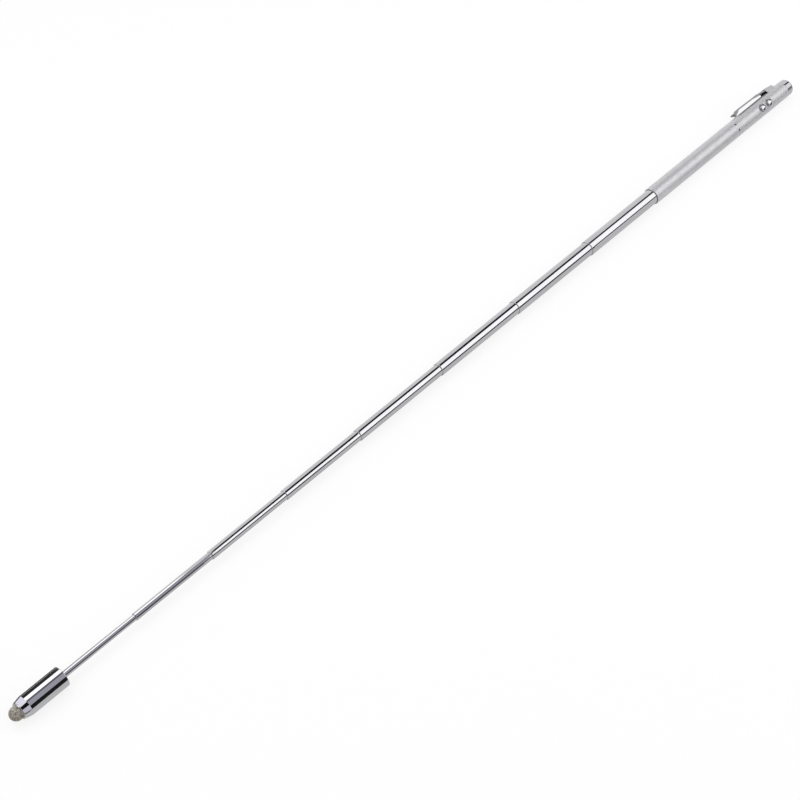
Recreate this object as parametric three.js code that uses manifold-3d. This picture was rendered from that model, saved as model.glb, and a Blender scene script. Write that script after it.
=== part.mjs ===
// Telescopic laser pointer pen: a stylus head on eight sliding sections, which run in a barrel
// that unscrews from a second barrel with the cells, two push buttons, a laser and a lamp.
// Millimetres, +Z up. The pen lies along X, drawn out, with the laser end towards +X.
// Stations along the pen are measured from the mouth of the lower barrel, towards the laser end.

import * as THREE from 'three';
import { mergeVertices } from 'three/addons/utils/BufferGeometryUtils.js';
import Module from 'manifold-3d';

const wasm = await Module();
wasm.setup();

// Facets of the round pieces, all with a flat facing down, and steps of the rounded outlines
const barrelFacets = 32;
const tubeFacets = 24;
const smallFacets = 16;
const pinFacets = 8;
const ballSteps = 9;
const roundSteps = 5;
const domeSteps = 4;

// Clearances
const slideClearance = 0.03;   // a bush in the bore that it slides in
const fitClearance = 0.02;     // a bush on its own tube
const lipClearance = 0.04;     // a crimped mouth round the tube that passes it
const seatGap = 0.05;          // flat faces that meet square to the pen's axis
const restGap = 0.3;           // pieces that rest on a round wall
const looseFit = 0.1;          // round pieces dropped into a bore
const overshoot = 1;           // a cutting tool past the face that it cuts

// Telescope: the length of each section that shows when the pointer is drawn out
const rodDiameter = 3.0;
const tubeWall = 0.28;
const bushWall = 0.08;
const sectionOverlap = 7.5;    // length of a section that stays in the next one
const lipLength = 0.8;
const lipRounding = 0.3;
const bushFlange = 0.6;
const rodShown = 41.6;
const tube2Shown = 46.3;
const tube3Shown = 48.1;
const tube4Shown = 50.7;
const tube5Shown = 59.6;
const tube6Shown = 60.3;
const tube7Shown = 61.7;
const tube8Shown = 58.1;
const sections = [
  { name: 'tip_rod', shown: rodShown },
  { name: 'tube_2', shown: tube2Shown },
  { name: 'tube_3', shown: tube3Shown },
  { name: 'tube_4', shown: tube4Shown },
  { name: 'tube_5', shown: tube5Shown },
  { name: 'tube_6', shown: tube6Shown },
  { name: 'tube_7', shown: tube7Shown },
  { name: 'tube_8', shown: tube8Shown },
];

// Lower barrel, coupler and joint ring
const lowerWall = 0.5;
const lowerLength = 79.0;
const mouthChamfer = 0.5;
const ringWidth = 1.2;
const couplerPlug = 8.2;
const spigotLength = 5.6;
const spigotWall = 1.1;
const springPocket = 5.0;
const springTurns = 5;
const springWire = 0.5;
const wireSides = 5;
const stepsPerTurn = 8;
const springLength = 5.4;
const contactScrew = 1.4;

// Stylus head
const headLength = 20.1;
const headWall = 0.8;
const headEdge = 0.35;
const noseLength = 4.0;
const noseRim = 0.45;          // width of the nose's lip round the ball
const noseRing = 0.45;
const ballDiameter = 6.8;
const ballReach = 4.7;
const meshMouth = 3.7;         // radius of the mesh where it comes out of the lip
const meshGather = 1.5;        // length in which the mesh narrows to its neck
const neckRadius = 3.2;
const meshThickness = 0.4;
const neckLength = 5.0;
const collarLength = 1.6;
const plugFloor = 1.5;
const rodSeat = 5.5;

// Cells and their sleeve
const cellCount = 3;
const cellDiameter = 7.9;
const cellHeight = 3.6;
const cellEdge = 0.35;
const sleeveWall = 0.25;

// Upper barrel and end cap
const upperWall = 0.6;
const capLength = 5.5;
const capRounding = 1.5;
const capPlate = 1.4;
const capSpigot = 4.0;
const capSpigotWall = 0.35;
const windowThickness = 0.8;

// Buttons, switches and board; the first button works the lamp, the second the laser
const buttonTilt = THREE.MathUtils.degToRad(40.5);
const buttonSetback = 6.7;     // from the carrier's end to the first button
const buttonSpacing = 6.7;
const buttonDiameter = 4.1;
const buttonHeight = 2.15;     // from the barrel's surface to the top of the dome
const buttonDome = 0.5;
const buttonClearance = 0.15;
const buttonTravel = 0.4;
const flangeExtra = 0.45;
const flangeThickness = 0.4;
const plungerDiameter = 1.5;
const plungerSeat = 0.2;        // depth of the plunger's foot in the switch
const switchLength = 4.2;
const switchWidth = 3.2;
const switchHeight = 1.5;
const boardThickness = 0.6;
const boardEdgeGap = 0.15;
const carrierFloor = 1.1;
const carrierLength = 18.4;
const contactThickness = 0.3;
const contactDiameter = 5.4;

// Laser module and lamp, side by side
const laserDiameter = 3.6;
const laserLength = 15.0;
const laserWall = 0.4;
const lensThickness = 1.1;
const lampDiameter = 3.0;
const lampLength = 5.4;
const opticWall = 0.6;         // of the holder, between the two bores
const holderWall = 0.15;
const holderLength = 5.4;
const laserAperture = 2.0;
const pinDiameter = 0.45;
const pinSpacing = 1.27;
const pinLength = 1.6;
const diodeCan = 2.2;
const diodeBase = 0.8;
const diodeBaseRim = 0.2;

// Pocket clip
const clipTilt = THREE.MathUtils.degToRad(-58.5);
const clipWidth = 5.0;
const clipThickness = 0.8;
const clipFromEnd = 5.4;       // from the bracket's back to the barrel's end
const clipNoseGap = 0.15;
const bracketLength = 7.6;
const bracketWidth = 4.4;      // across its top
const bracketSplay = 0.3;      // how far each side leans out, per millimetre of height
const bracketFrontHeight = 2.2;   // above the barrel's surface
const bracketRearHeight = 1.6;
const bracketPlate = 0.7;
const bracketFlange = 0.6;
const bracketSolid = 4.2;
const tongueLength = 2.6;
const tongueSideGap = 0.3;
const clipSeam = 0.15;
const stripLength = 25.5;
const stripBendLength = 7.5;
const stripMidHeight = 2.25;
const stripNoseHeight = 2.55;
const noseDrop = 3.2;
const noseWidth = 1.0;         // where the folded nose rests on the barrel
const noseLift = 2.1;
const noseLiftHeight = 2.0;
const noseLiftWidth = 3.0;     // at the nose's free edge
const rivetDiameter = 1.3;
const rivetHead = 2.4;
const rivetHeadHeight = 0.4;
const rivetClearance = 0.3;

// Finishes
const finish = (color, roughness, metalness, extra = {}) => () =>
  new THREE.MeshStandardMaterial({ color, roughness, metalness, ...extra });
const chromePlate = finish(0xd8d9dc, 0.08, 1.0);
const satinSilver = finish(0xc2c2c4, 0.42, 0.9);
const springSteel = finish(0xb8babd, 0.35, 0.95);
const brass = finish(0xb99a5b, 0.3, 1.0);
const bronze = finish(0xa9824f, 0.4, 1.0);
const wovenMesh = finish(0x8c8778, 0.75, 0.3);
const blackRubber = finish(0x242424, 0.85, 0.0);
const cellSteel = finish(0xcfd0d2, 0.25, 1.0);
const blackPlastic = finish(0x1e1f21, 0.55, 0.0);
const whitePlastic = finish(0xe8e6df, 0.5, 0.0);
const boardGreen = finish(0x2d6a3a, 0.6, 0.0);
const clearPlastic = finish(0xe9f0f2, 0.05, 0.0, { transparent: true, opacity: 0.35 });

// The pen, which is centred and stood on the floor at the end, and its two turned groups
const pen = new THREE.Group();
const buttonSide = new THREE.Group();
buttonSide.rotation.x = buttonTilt;
const clipSide = new THREE.Group();
clipSide.rotation.x = clipTilt;
pen.add(buttonSide, clipSide);

function addPiece(parent, name, geometry, material, station = 0) {
  const piece = new THREE.Mesh(geometry, material());
  piece.name = name;
  piece.position.x = station;
  parent.add(piece);
  return piece;
}

// A profile of [station, radius] points, turned about the pen's axis; it may run either way round
function turned(profile, facets) {
  const points = profile.map(([station, radius]) => new THREE.Vector2(radius, station));
  if (THREE.ShapeUtils.area(points) < 0) points.reverse();
  const geometry = new THREE.LatheGeometry(points, facets, Math.PI / facets);
  geometry.rotateZ(-Math.PI / 2);
  return geometry;
}

// A closed ring or tube between two radii, with its profile running round the wall
function ring(from, to, innerRadius, outerRadius, facets) {
  return turned([
    [from, outerRadius], [to, outerRadius], [to, innerRadius], [from, innerRadius], [from, outerRadius],
  ], facets);
}

// A solid bar about the pen's axis
function bar(from, to, radius, facets) {
  return turned([[from, 0], [from, radius], [to, radius], [to, 0]], facets);
}

// A solid bar that stands up along +Z
function post(low, high, radius, facets) {
  const geometry = bar(low, high, radius, facets);
  geometry.rotateY(-Math.PI / 2);
  return geometry;
}

// Points of a quarter ellipse, which ends square to the pen's axis at the given inner radius
function quarterRound(from, inner, along, across, steps) {
  return Array.from({ length: steps + 1 }, (_, i) => {
    const angle = (Math.PI / 2) * (i / steps);
    return [from + along * Math.sin(angle), inner + (i === steps ? 0 : across * Math.cos(angle))];
  });
}

function block(length, width, height) {
  return new THREE.BoxGeometry(length, width, height);
}

function solid(geometry) {
  const plain = geometry.index ? geometry.toNonIndexed() : geometry.clone();
  plain.deleteAttribute('normal');
  plain.deleteAttribute('uv');
  const merged = mergeVertices(plain, 1e-4);
  const triangles = [];
  const index = merged.index.array;
  for (let i = 0; i < index.length; i += 3) {
    const [a, b, c] = [index[i], index[i + 1], index[i + 2]];
    if (a !== b && b !== c && c !== a) triangles.push(a, b, c);
  }
  return new wasm.Manifold(new wasm.Mesh({
    numProp: 3,
    vertProperties: new Float32Array(merged.attributes.position.array),
    triVerts: new Uint32Array(triangles),
  }));
}

function geometryOf(manifold) {
  const mesh = manifold.getMesh();
  const geometry = new THREE.BufferGeometry();
  geometry.setAttribute('position', new THREE.BufferAttribute(mesh.vertProperties, 3));
  geometry.setIndex(new THREE.BufferAttribute(mesh.triVerts, 1));
  return geometry;
}

function joined(first, ...others) {
  return geometryOf(others.reduce((whole, other) => whole.add(solid(other)), solid(first)));
}

function cut(first, ...tools) {
  return geometryOf(tools.reduce((whole, tool) => whole.subtract(solid(tool)), solid(first)));
}

// Telescope sizes, from the rod outwards
const boreGap = bushWall + slideClearance + fitClearance;
const sectionStep = 2 * (tubeWall + boreGap);
const sectionRadius = (index) => rodDiameter / 2 + (index * sectionStep) / 2;
const lastTube = sections.length - 1;
const lowerBore = sectionRadius(lastTube) + boreGap;
const lowerOuter = lowerBore + lowerWall;

// Station of each section's mouth, counted back from the mouth of the barrel
const mouthStation = [];
let station = 0;
for (let index = lastTube; index >= 0; index -= 1) {
  mouthStation[index] = station - sections[index].shown;
  station = mouthStation[index];
}

// One tube with its mouth crimped round the next smaller section
function tubeGeometry(index) {
  const outer = sectionRadius(index);
  const bore = outer - tubeWall;
  const lip = sectionRadius(index - 1) + lipClearance;
  const length = sections[index].shown + sectionOverlap;
  return turned([
    [length, outer],
    [length, bore],
    [lipLength, bore],
    [lipLength - lipRounding, lip],
    [0, lip],
    [0, outer - lipRounding],
    [lipRounding, outer],
    [length, outer],
  ], tubeFacets);
}

// The spring bush round a section's inner end, stopped by the crimped mouth in front of it.
// Its rim lies behind the tube's wall, so that longer inner sections still pass through it.
function bushGeometry(index) {
  const inner = sectionRadius(index) + fitClearance;
  const outer = inner + bushWall;
  const rear = sectionOverlap + seatGap;
  const hole = index === 0 ? sectionRadius(index) / 2 : sectionRadius(index) - tubeWall;
  return turned([
    [lipLength + seatGap, outer],
    [rear + bushFlange, outer],
    [rear + bushFlange, hole],
    [rear, hole],
    [rear, inner],
    [lipLength + seatGap, inner],
    [lipLength + seatGap, outer],
  ], tubeFacets);
}

for (let index = 1; index <= lastTube; index += 1) {
  addPiece(pen, sections[index].name, tubeGeometry(index), chromePlate, mouthStation[index]);
}
sections.forEach((section, index) => {
  const innerEnd = mouthStation[index] + section.shown;
  addPiece(pen, `${section.name}_bush`, bushGeometry(index), bronze, innerEnd);
});

// The solid rod runs from its seat in the stylus head to its bush
const rodLength = rodSeat + sections[0].shown + sectionOverlap;
addPiece(pen, 'tip_rod', bar(-rodSeat, rodLength - rodSeat, rodDiameter / 2, tubeFacets),
  chromePlate, mouthStation[0]);

// Stylus head, from its rear face back towards the ball
const headRear = mouthStation[0];
const headOuter = lowerOuter;
const headBore = headOuter - headWall;
const shoulder = -headLength;
const noseEnd = shoulder - noseLength;
const ballRadius = ballDiameter / 2;
const ballCentre = noseEnd - ballReach + ballRadius;
const noseBore = meshMouth + looseFit;
const noseRadius = noseBore + noseRim;
const neckEnd = noseEnd + neckLength;
const boreStart = shoulder + headWall;

addPiece(pen, 'stylus_shell', turned([
  [-headEdge, headOuter],
  [0, headOuter - headEdge],
  [0, headBore],
  [boreStart, headBore],
  [noseEnd + noseRing + headWall, noseRadius - headWall / 2],
  [noseEnd + noseRing + headWall, noseBore],
  [noseEnd + noseRing + seatGap, noseBore],
  [noseEnd + noseRing + seatGap, noseRadius],
  [shoulder, headOuter],
  [-headEdge, headOuter],
], barrelFacets), chromePlate, headRear);

addPiece(pen, 'nose_ring', turned([
  [noseEnd + noseRing, noseRadius],
  [noseEnd + noseRing, noseBore],
  [noseEnd, noseBore],
  [noseEnd, noseRadius - noseRing / 2],
  [noseEnd + noseRing / 2, noseRadius],
  [noseEnd + noseRing, noseRadius],
], barrelFacets), chromePlate, headRear);

// Points of a ball's outline, from its pole round to the neck behind it
function ballOutline(radius, endRadius, steps) {
  const pole = Math.PI;
  const end = Math.asin(endRadius / radius);
  return Array.from({ length: steps + 1 }, (_, i) => {
    const angle = pole + ((end - pole) * i) / steps;
    return [ballCentre + radius * Math.cos(angle), Math.max(0, radius * Math.sin(angle))];
  });
}
const coreRadius = ballRadius - meshThickness - seatGap;
const coreNeck = neckRadius - meshThickness - seatGap;

// The mesh is round to its widest place, flares to the lip and narrows again to its neck
function meshOutline(inset) {
  return [
    ...ballOutline(ballRadius - inset, ballRadius - inset, ballSteps),
    [noseEnd, meshMouth - inset],
    [noseEnd + meshGather, neckRadius - inset],
    [neckEnd, neckRadius - inset],
  ];
}
addPiece(pen, 'mesh_tip', turned([
  ...meshOutline(0),
  ...meshOutline(meshThickness).reverse(),
], tubeFacets), wovenMesh, headRear);

addPiece(pen, 'tip_core', turned([
  ...ballOutline(coreRadius, coreNeck, ballSteps),
  [neckEnd + collarLength, coreNeck],
  [neckEnd + collarLength, 0],
], tubeFacets), blackRubber, headRear);

const collarFrom = neckEnd - collarLength;
addPiece(pen, 'tip_collar', ring(collarFrom, neckEnd, neckRadius + fitClearance,
  noseRadius - headWall / 2 - looseFit, tubeFacets), brass, headRear);

// The plug closes the back of the head, backs up the core and holds the rod
const plugFront = -rodSeat - plugFloor;
addPiece(pen, 'head_plug', turned([
  [neckEnd + collarLength + seatGap, 0],
  [neckEnd + collarLength + seatGap, coreNeck],
  [plugFront, coreNeck],
  [plugFront, headBore - looseFit],
  [-seatGap, headBore - looseFit],
  [-seatGap, rodDiameter / 2 + fitClearance],
  [-rodSeat - seatGap, rodDiameter / 2 + fitClearance],
  [-rodSeat - seatGap, 0],
], barrelFacets), brass, headRear);

// Lower barrel
addPiece(pen, 'lower_barrel', turned([
  [lowerLength, lowerOuter],
  [lowerLength, lowerBore],
  [lipLength, lowerBore],
  [lipLength, sectionRadius(lastTube) + lipClearance],
  [0, sectionRadius(lastTube) + lipClearance],
  [0, lowerOuter - mouthChamfer],
  [mouthChamfer, lowerOuter],
  [lowerLength, lowerOuter],
], barrelFacets), satinSilver);

// Upper barrel sizes come from the cells, the laser and the lamp that it holds
const cellRadius = cellDiameter / 2;
const sleeveInner = cellRadius + looseFit;
const sleeveOuter = sleeveInner + sleeveWall;
const laserRadius = laserDiameter / 2;
const lampRadius = lampDiameter / 2;
const holderRadius = laserRadius + lampRadius + opticWall / 2 + looseFit + holderWall;
const capBore = holderRadius + looseFit;
const capSpigotRadius = capBore + capSpigotWall;
const upperBore = Math.max(sleeveOuter, capSpigotRadius) + looseFit;
const upperOuter = upperBore + upperWall;
const upperStart = lowerLength + seatGap + ringWidth + seatGap;

// Coupler: pressed into the lower barrel, screwed into the upper one, with the spring's pocket
const spigotRadius = upperBore - looseFit;
const couplerFrom = lowerLength - couplerPlug;
const spigotEnd = upperStart + spigotLength;
addPiece(pen, 'coupler', turned([
  [couplerFrom, contactScrew],
  [couplerFrom, lowerBore - fitClearance],
  [lowerLength - seatGap, lowerBore - fitClearance],
  [lowerLength - seatGap, spigotRadius],
  [spigotEnd, spigotRadius],
  [spigotEnd, spigotRadius - spigotWall],
  [spigotEnd - springPocket, spigotRadius - spigotWall],
  [spigotEnd - springPocket, contactScrew],
  [couplerFrom, contactScrew],
], barrelFacets), brass);

addPiece(pen, 'contact_screw', bar(couplerFrom, spigotEnd - springPocket,
  contactScrew - looseFit, smallFacets), cellSteel);

addPiece(pen, 'joint_ring', turned([
  [upperStart - seatGap, upperOuter],
  [upperStart - seatGap, spigotRadius + looseFit],
  [lowerLength + seatGap, spigotRadius + looseFit],
  [lowerLength + seatGap, lowerOuter],
  [upperStart - seatGap, upperOuter],
], barrelFacets), chromePlate);

// Battery spring, a round wire wound from the pocket's floor to the first cell
class Helix extends THREE.Curve {
  constructor(radius, turns, length) {
    super();
    Object.assign(this, { radius, turns, length });
  }
  getPoint(t) {
    const angle = 2 * Math.PI * this.turns * t;
    return new THREE.Vector3(this.length * t, this.radius * Math.cos(angle), this.radius * Math.sin(angle));
  }
}
const springRadius = spigotRadius - spigotWall - springWire / 2 - looseFit;
const springFrom = spigotEnd - springPocket + springWire / 2 + seatGap;
const wireSection = new THREE.Shape(Array.from({ length: wireSides }, (_, i) => {
  const angle = (2 * Math.PI * i) / wireSides;
  return new THREE.Vector2((springWire / 2) * Math.cos(angle), (springWire / 2) * Math.sin(angle));
}));
addPiece(pen, 'battery_spring', new THREE.ExtrudeGeometry(wireSection, {
  steps: springTurns * stepsPerTurn,
  extrudePath: new Helix(springRadius, springTurns, springLength - springWire),
}), springSteel, springFrom);

// Cells in their sleeve, one behind the other
const cellStart = springFrom + springLength - springWire / 2 + seatGap;
const cellPitch = cellHeight + seatGap;
for (let index = 0; index < cellCount; index += 1) {
  addPiece(pen, `cell_${index + 1}`, turned([
    [0, 0],
    [0, cellRadius - 2 * cellEdge],
    [cellEdge, cellRadius - cellEdge],
    [2 * cellEdge, cellRadius],
    [cellHeight, cellRadius],
    [cellHeight, 0],
  ], tubeFacets), cellSteel, cellStart + index * cellPitch);
}
const cellsEnd = cellStart + cellCount * cellPitch;
const contactEnd = cellsEnd + contactThickness;
addPiece(pen, 'battery_sleeve', ring(spigotEnd + seatGap, contactEnd, sleeveInner, sleeveOuter,
  barrelFacets), whitePlastic);
addPiece(pen, 'contact_plate', bar(cellsEnd, contactEnd - seatGap, contactDiameter / 2,
  smallFacets), brass);

// Stations behind the cells: board carrier, laser module, window and cap, which end the barrel
const carrierFrom = contactEnd + seatGap;
const carrierTo = carrierFrom + carrierLength;
const laserFrom = carrierTo + pinLength + diodeBase;
const opticsTo = laserFrom + laserLength;
const windowFrom = opticsTo + looseFit;
const windowTo = windowFrom + windowThickness;
const capPlateFrom = windowTo + seatGap;
const capTo = capPlateFrom + capPlate;
const capFrom = capTo - capLength;
const upperEnd = capFrom - seatGap;

// Upper barrel, with the two button holes and the rivet's hole
const boreAt = (radius, offset) => Math.sqrt(radius ** 2 - offset ** 2);
const buttonRadius = buttonDiameter / 2;
const firstButton = carrierFrom + buttonSetback;
const buttonStations = [firstButton, firstButton + buttonSpacing];
const holeReach = upperOuter + buttonHeight;
const clipRearStation = upperEnd - clipFromEnd;
const clipRootStation = clipRearStation - bracketLength;
const rivetStation = clipRearStation - bracketSolid / 2;
const buttonHoles = buttonStations.map((at) => {
  const hole = post(0, holeReach, buttonRadius + buttonClearance, smallFacets);
  hole.translate(at, 0, 0);
  hole.rotateX(buttonTilt);
  return hole;
});
const rivetHole = post(0, holeReach, rivetDiameter / 2 + rivetClearance, smallFacets);
rivetHole.translate(rivetStation, 0, 0);
rivetHole.rotateX(clipTilt);
addPiece(pen, 'upper_barrel', cut(ring(upperStart, upperEnd, upperBore, upperOuter, barrelFacets),
  ...buttonHoles, rivetHole), satinSilver);

// Buttons: a domed cap on a flange that stays inside the barrel
const flangeRadius = buttonRadius + flangeExtra;
const flangeTop = boreAt(upperBore * Math.cos(Math.PI / barrelFacets), flangeRadius) - looseFit;
const flangeBottom = flangeTop - flangeThickness;
const buttonTop = upperOuter + buttonHeight;
function buttonGeometry() {
  const geometry = turned([
    [flangeBottom, 0],
    [flangeBottom, flangeRadius],
    [flangeTop, flangeRadius],
    [flangeTop, buttonRadius],
    ...quarterRound(buttonTop - buttonDome, 0, buttonDome, buttonRadius, domeSteps),
  ], smallFacets);
  geometry.rotateY(-Math.PI / 2);
  return geometry;
}

// Switch stack under each button, from the flange down to the board
const plungerTop = flangeBottom - seatGap;
const switchTop = flangeBottom - buttonTravel - looseFit;
const plungerBottom = switchTop - plungerSeat;
const plungerWell = plungerBottom - buttonTravel - looseFit;
const switchBottom = switchTop - switchHeight;
function switchGeometry() {
  const body = block(switchLength, switchWidth, switchHeight);
  body.translate(0, 0, switchTop - switchHeight / 2);
  return cut(body, post(plungerWell, flangeBottom, plungerDiameter / 2 + looseFit, smallFacets));
}
const controls = ['lamp', 'laser'];
controls.forEach((control, index) => {
  const at = buttonStations[index];
  addPiece(buttonSide, `${control}_button`, buttonGeometry(), chromePlate, at);
  addPiece(buttonSide, `${control}_plunger`,
    post(plungerBottom, plungerTop, plungerDiameter / 2, smallFacets), whitePlastic, at);
  addPiece(buttonSide, `${control}_switch`, switchGeometry(), blackPlastic, at);
});

// End cap: a rounded plate with an opening for each light, on a spigot inside the barrel
const laserOffset = -(lampRadius + opticWall / 2);
const lampOffset = laserRadius + opticWall / 2;
const sideways = (geometry, offset) => geometry.translate(0, offset, 0);
const capHole = (radius, offset) => sideways(
  bar(capPlateFrom - overshoot, capTo + overshoot, radius, smallFacets), offset).rotateX(buttonTilt);
addPiece(pen, 'end_cap', cut(turned([
  [capFrom - capSpigot, capBore],
  [capFrom - capSpigot, capSpigotRadius],
  [capFrom, capSpigotRadius],
  [capFrom, upperOuter],
  ...quarterRound(capTo - capRounding, upperOuter - capRounding, capRounding, capRounding, roundSteps),
  [capTo, 0],
  [capPlateFrom, 0],
  [capPlateFrom, capBore],
  [capFrom - capSpigot, capBore],
], barrelFacets), capHole(laserAperture / 2, laserOffset),
  capHole(lampDiameter / 2 + looseFit, lampOffset)), chromePlate);

addPiece(buttonSide, 'window', bar(windowFrom, windowTo, capBore - looseFit, barrelFacets), clearPlastic);

// Holder with a bore for the laser module and one for the lamp
const holderTo = opticsTo - looseFit;
const holderFrom = holderTo - holderLength;
const holderBore = (radius, offset) => sideways(
  bar(holderFrom - overshoot, holderTo + overshoot, radius + looseFit, smallFacets), offset);
addPiece(buttonSide, 'optics_holder', cut(
  bar(holderFrom, holderTo, holderRadius, barrelFacets),
  holderBore(laserRadius, laserOffset), holderBore(lampRadius, lampOffset)), blackPlastic);

// Laser module: a brass tube with the lens in front and the diode behind
const laserBore = laserRadius - laserWall;
addPiece(buttonSide, 'laser_housing', sideways(
  ring(laserFrom, opticsTo, laserBore, laserRadius, smallFacets), laserOffset), brass);
const lensRadius = laserBore - fitClearance;
const lensFrom = opticsTo - 2 * lensThickness;
addPiece(buttonSide, 'laser_lens', sideways(turned([
  [lensFrom, 0],
  [lensFrom, lensRadius],
  ...quarterRound(lensFrom + lensThickness / 2, 0, lensThickness / 2, lensRadius, roundSteps),
], smallFacets), laserOffset), clearPlastic);

function pinPair(from, to, offset) {
  return [-1, 1].map((side) => {
    const pin = bar(from, to, pinDiameter / 2, pinFacets);
    pin.translate(0, offset, (side * pinSpacing) / 2);
    return pin;
  });
}
const diodeRadius = laserBore - diodeBaseRim;
addPiece(buttonSide, 'laser_diode', joined(
  sideways(turned([
    [laserFrom - seatGap - diodeBase, 0],
    [laserFrom - seatGap - diodeBase, laserRadius],
    [laserFrom - seatGap, laserRadius],
    [laserFrom - seatGap, diodeRadius],
    [laserFrom + diodeCan, diodeRadius],
    [laserFrom + diodeCan, 0],
  ], smallFacets), laserOffset),
  ...pinPair(laserFrom - diodeBase - pinLength + restGap, laserFrom - diodeBase, laserOffset),
), brass);

// Lamp: a round-nosed light with a flange and two legs
const lampFrom = opticsTo - lampLength;
const lampLegs = pinPair(laserFrom - diodeBase - pinLength + restGap, lampFrom + seatGap, lampOffset);
addPiece(buttonSide, 'lamp', joined(
  sideways(turned([
    [lampFrom, 0],
    [lampFrom, lampRadius],
    ...quarterRound(opticsTo - lampRadius, 0, lampRadius, lampRadius, domeSteps),
  ], smallFacets), lampOffset),
  ...lampLegs,
), clearPlastic);

// Board and the carrier that it lies on
const boardTop = switchBottom - seatGap;
const boardBottom = boardTop - boardThickness;
const carrierTop = boardBottom - seatGap;
const carrierRadius = upperBore - looseFit;
const boardWidth = 2 * (boreAt(carrierRadius * Math.cos(Math.PI / barrelFacets), boardTop) - boardEdgeGap);
const boardGeometry = block(carrierLength, boardWidth, boardThickness);
boardGeometry.translate(carrierFrom + carrierLength / 2, 0, boardTop - boardThickness / 2);
addPiece(buttonSide, 'circuit_board', boardGeometry, boardGreen);

const carrierClear = block(carrierLength + overshoot, 2 * carrierRadius + overshoot, 2 * carrierRadius);
carrierClear.translate(carrierFrom + carrierLength / 2, 0, carrierTop + carrierRadius);
const carrierWell = block(carrierLength - 2 * carrierFloor, boardWidth - 2 * carrierFloor, carrierRadius);
carrierWell.translate(carrierFrom + carrierLength / 2, 0, carrierTop);
addPiece(buttonSide, 'board_carrier', cut(bar(carrierFrom, carrierTo, carrierRadius, barrelFacets),
  carrierClear, carrierWell), blackPlastic);

// Pocket clip: a sprung strip with a folded nose, and the channel-shaped bracket that holds it
// A strip of even thickness along a line of [station, height] points
function ribbon(points, thickness) {
  const line = points.map(([x, y]) => new THREE.Vector2(x, y));
  const normals = line.map((point, i) => {
    const before = i > 0 ? point.clone().sub(line[i - 1]).normalize() : null;
    const after = i < line.length - 1 ? line[i + 1].clone().sub(point).normalize() : null;
    const along = (before && after) ? before.clone().add(after).normalize() : (before ?? after);
    const stretch = before ? before.dot(along) : 1;
    return new THREE.Vector2(-along.y, along.x).multiplyScalar(thickness / 2 / stretch);
  });
  const upper = line.map((point, i) => point.clone().add(normals[i]));
  const lower = line.map((point, i) => point.clone().sub(normals[i]));
  return new THREE.Shape([...lower, ...upper.reverse()]);
}

// A shape of station and height, extruded across the pen
function across(shape, width) {
  const geometry = new THREE.ExtrudeGeometry(shape, { depth: width, bevelEnabled: false });
  geometry.rotateX(Math.PI / 2);
  geometry.translate(0, width / 2, 0);
  return geometry;
}

const bracketFrontTop = upperOuter + bracketFrontHeight;
const bracketRearTop = upperOuter + bracketRearHeight;
const stripEnd = clipRootStation - clipSeam;
const noseBendStation = stripEnd - stripLength;
const contactStation = noseBendStation - noseDrop;
const freeStation = contactStation - noseLift;
const contactHeight = upperOuter + clipNoseGap + clipThickness / 2;
const tongueHeight = bracketFrontTop - bracketPlate - looseFit - clipThickness / 2;
const stripLine = [
  [freeStation, upperOuter + noseLiftHeight],
  [contactStation, contactHeight],
  [noseBendStation, upperOuter + stripNoseHeight],
  [stripEnd - stripBendLength, upperOuter + stripMidHeight],
  [stripEnd, tongueHeight],
];
const channelWidth = bracketWidth - 2 * bracketFlange;
const tongueWidth = channelWidth - 2 * tongueSideGap;
const tongue = across(ribbon([
  [stripEnd - clipThickness, tongueHeight],
  [clipRootStation + tongueLength, tongueHeight],
], clipThickness), tongueWidth);

// Each side of the nose narrows to the fold that rests on the barrel and widens to the free edge
const noseSides = [-1, 1].map((side) => {
  const outline = [
    [noseBendStation, clipWidth / 2],
    [contactStation, noseWidth / 2],
    [freeStation, noseLiftWidth / 2],
    [freeStation - overshoot, noseLiftWidth / 2],
    [freeStation - overshoot, clipWidth],
    [noseBendStation, clipWidth],
  ];
  const plan = new THREE.Shape(outline.map(([x, y]) => new THREE.Vector2(x, side * y)));
  const tool = new THREE.ExtrudeGeometry(plan, { depth: stripNoseHeight + overshoot, bevelEnabled: false });
  tool.translate(0, 0, upperOuter);
  return tool;
});
const strip = cut(across(ribbon(stripLine, clipThickness), clipWidth), ...noseSides);
addPiece(clipSide, 'pocket_clip', joined(strip, tongue), springSteel);

// The bracket's sides lean outwards, and its top slopes down towards the cap
const bracketTopHalf = bracketWidth / 2;
const bracketFootHalf = bracketTopHalf + bracketSplay * bracketFrontTop;
const bracketSection = new THREE.Shape([
  new THREE.Vector2(-bracketFootHalf, 0),
  new THREE.Vector2(bracketFootHalf, 0),
  new THREE.Vector2(bracketTopHalf, bracketFrontTop),
  new THREE.Vector2(-bracketTopHalf, bracketFrontTop),
]);
const bracketBlank = new THREE.ExtrudeGeometry(bracketSection, { depth: bracketLength, bevelEnabled: false });
bracketBlank.rotateX(Math.PI / 2);
bracketBlank.rotateZ(Math.PI / 2);
bracketBlank.translate(clipRootStation, 0, 0);
const topSlope = across(new THREE.Shape([
  new THREE.Vector2(clipRootStation, bracketFrontTop),
  new THREE.Vector2(clipRearStation, bracketRearTop),
  new THREE.Vector2(clipRearStation + overshoot, bracketRearTop),
  new THREE.Vector2(clipRearStation + overshoot, bracketFrontTop + overshoot),
  new THREE.Vector2(clipRootStation, bracketFrontTop + overshoot),
]), clipWidth);
const channelLength = bracketLength - bracketSolid;
const channelHeight = bracketFrontTop - bracketPlate;
const channel = block(channelLength + overshoot, channelWidth, channelHeight);
channel.translate(clipRootStation + (channelLength - overshoot) / 2, 0, channelHeight / 2);
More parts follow.
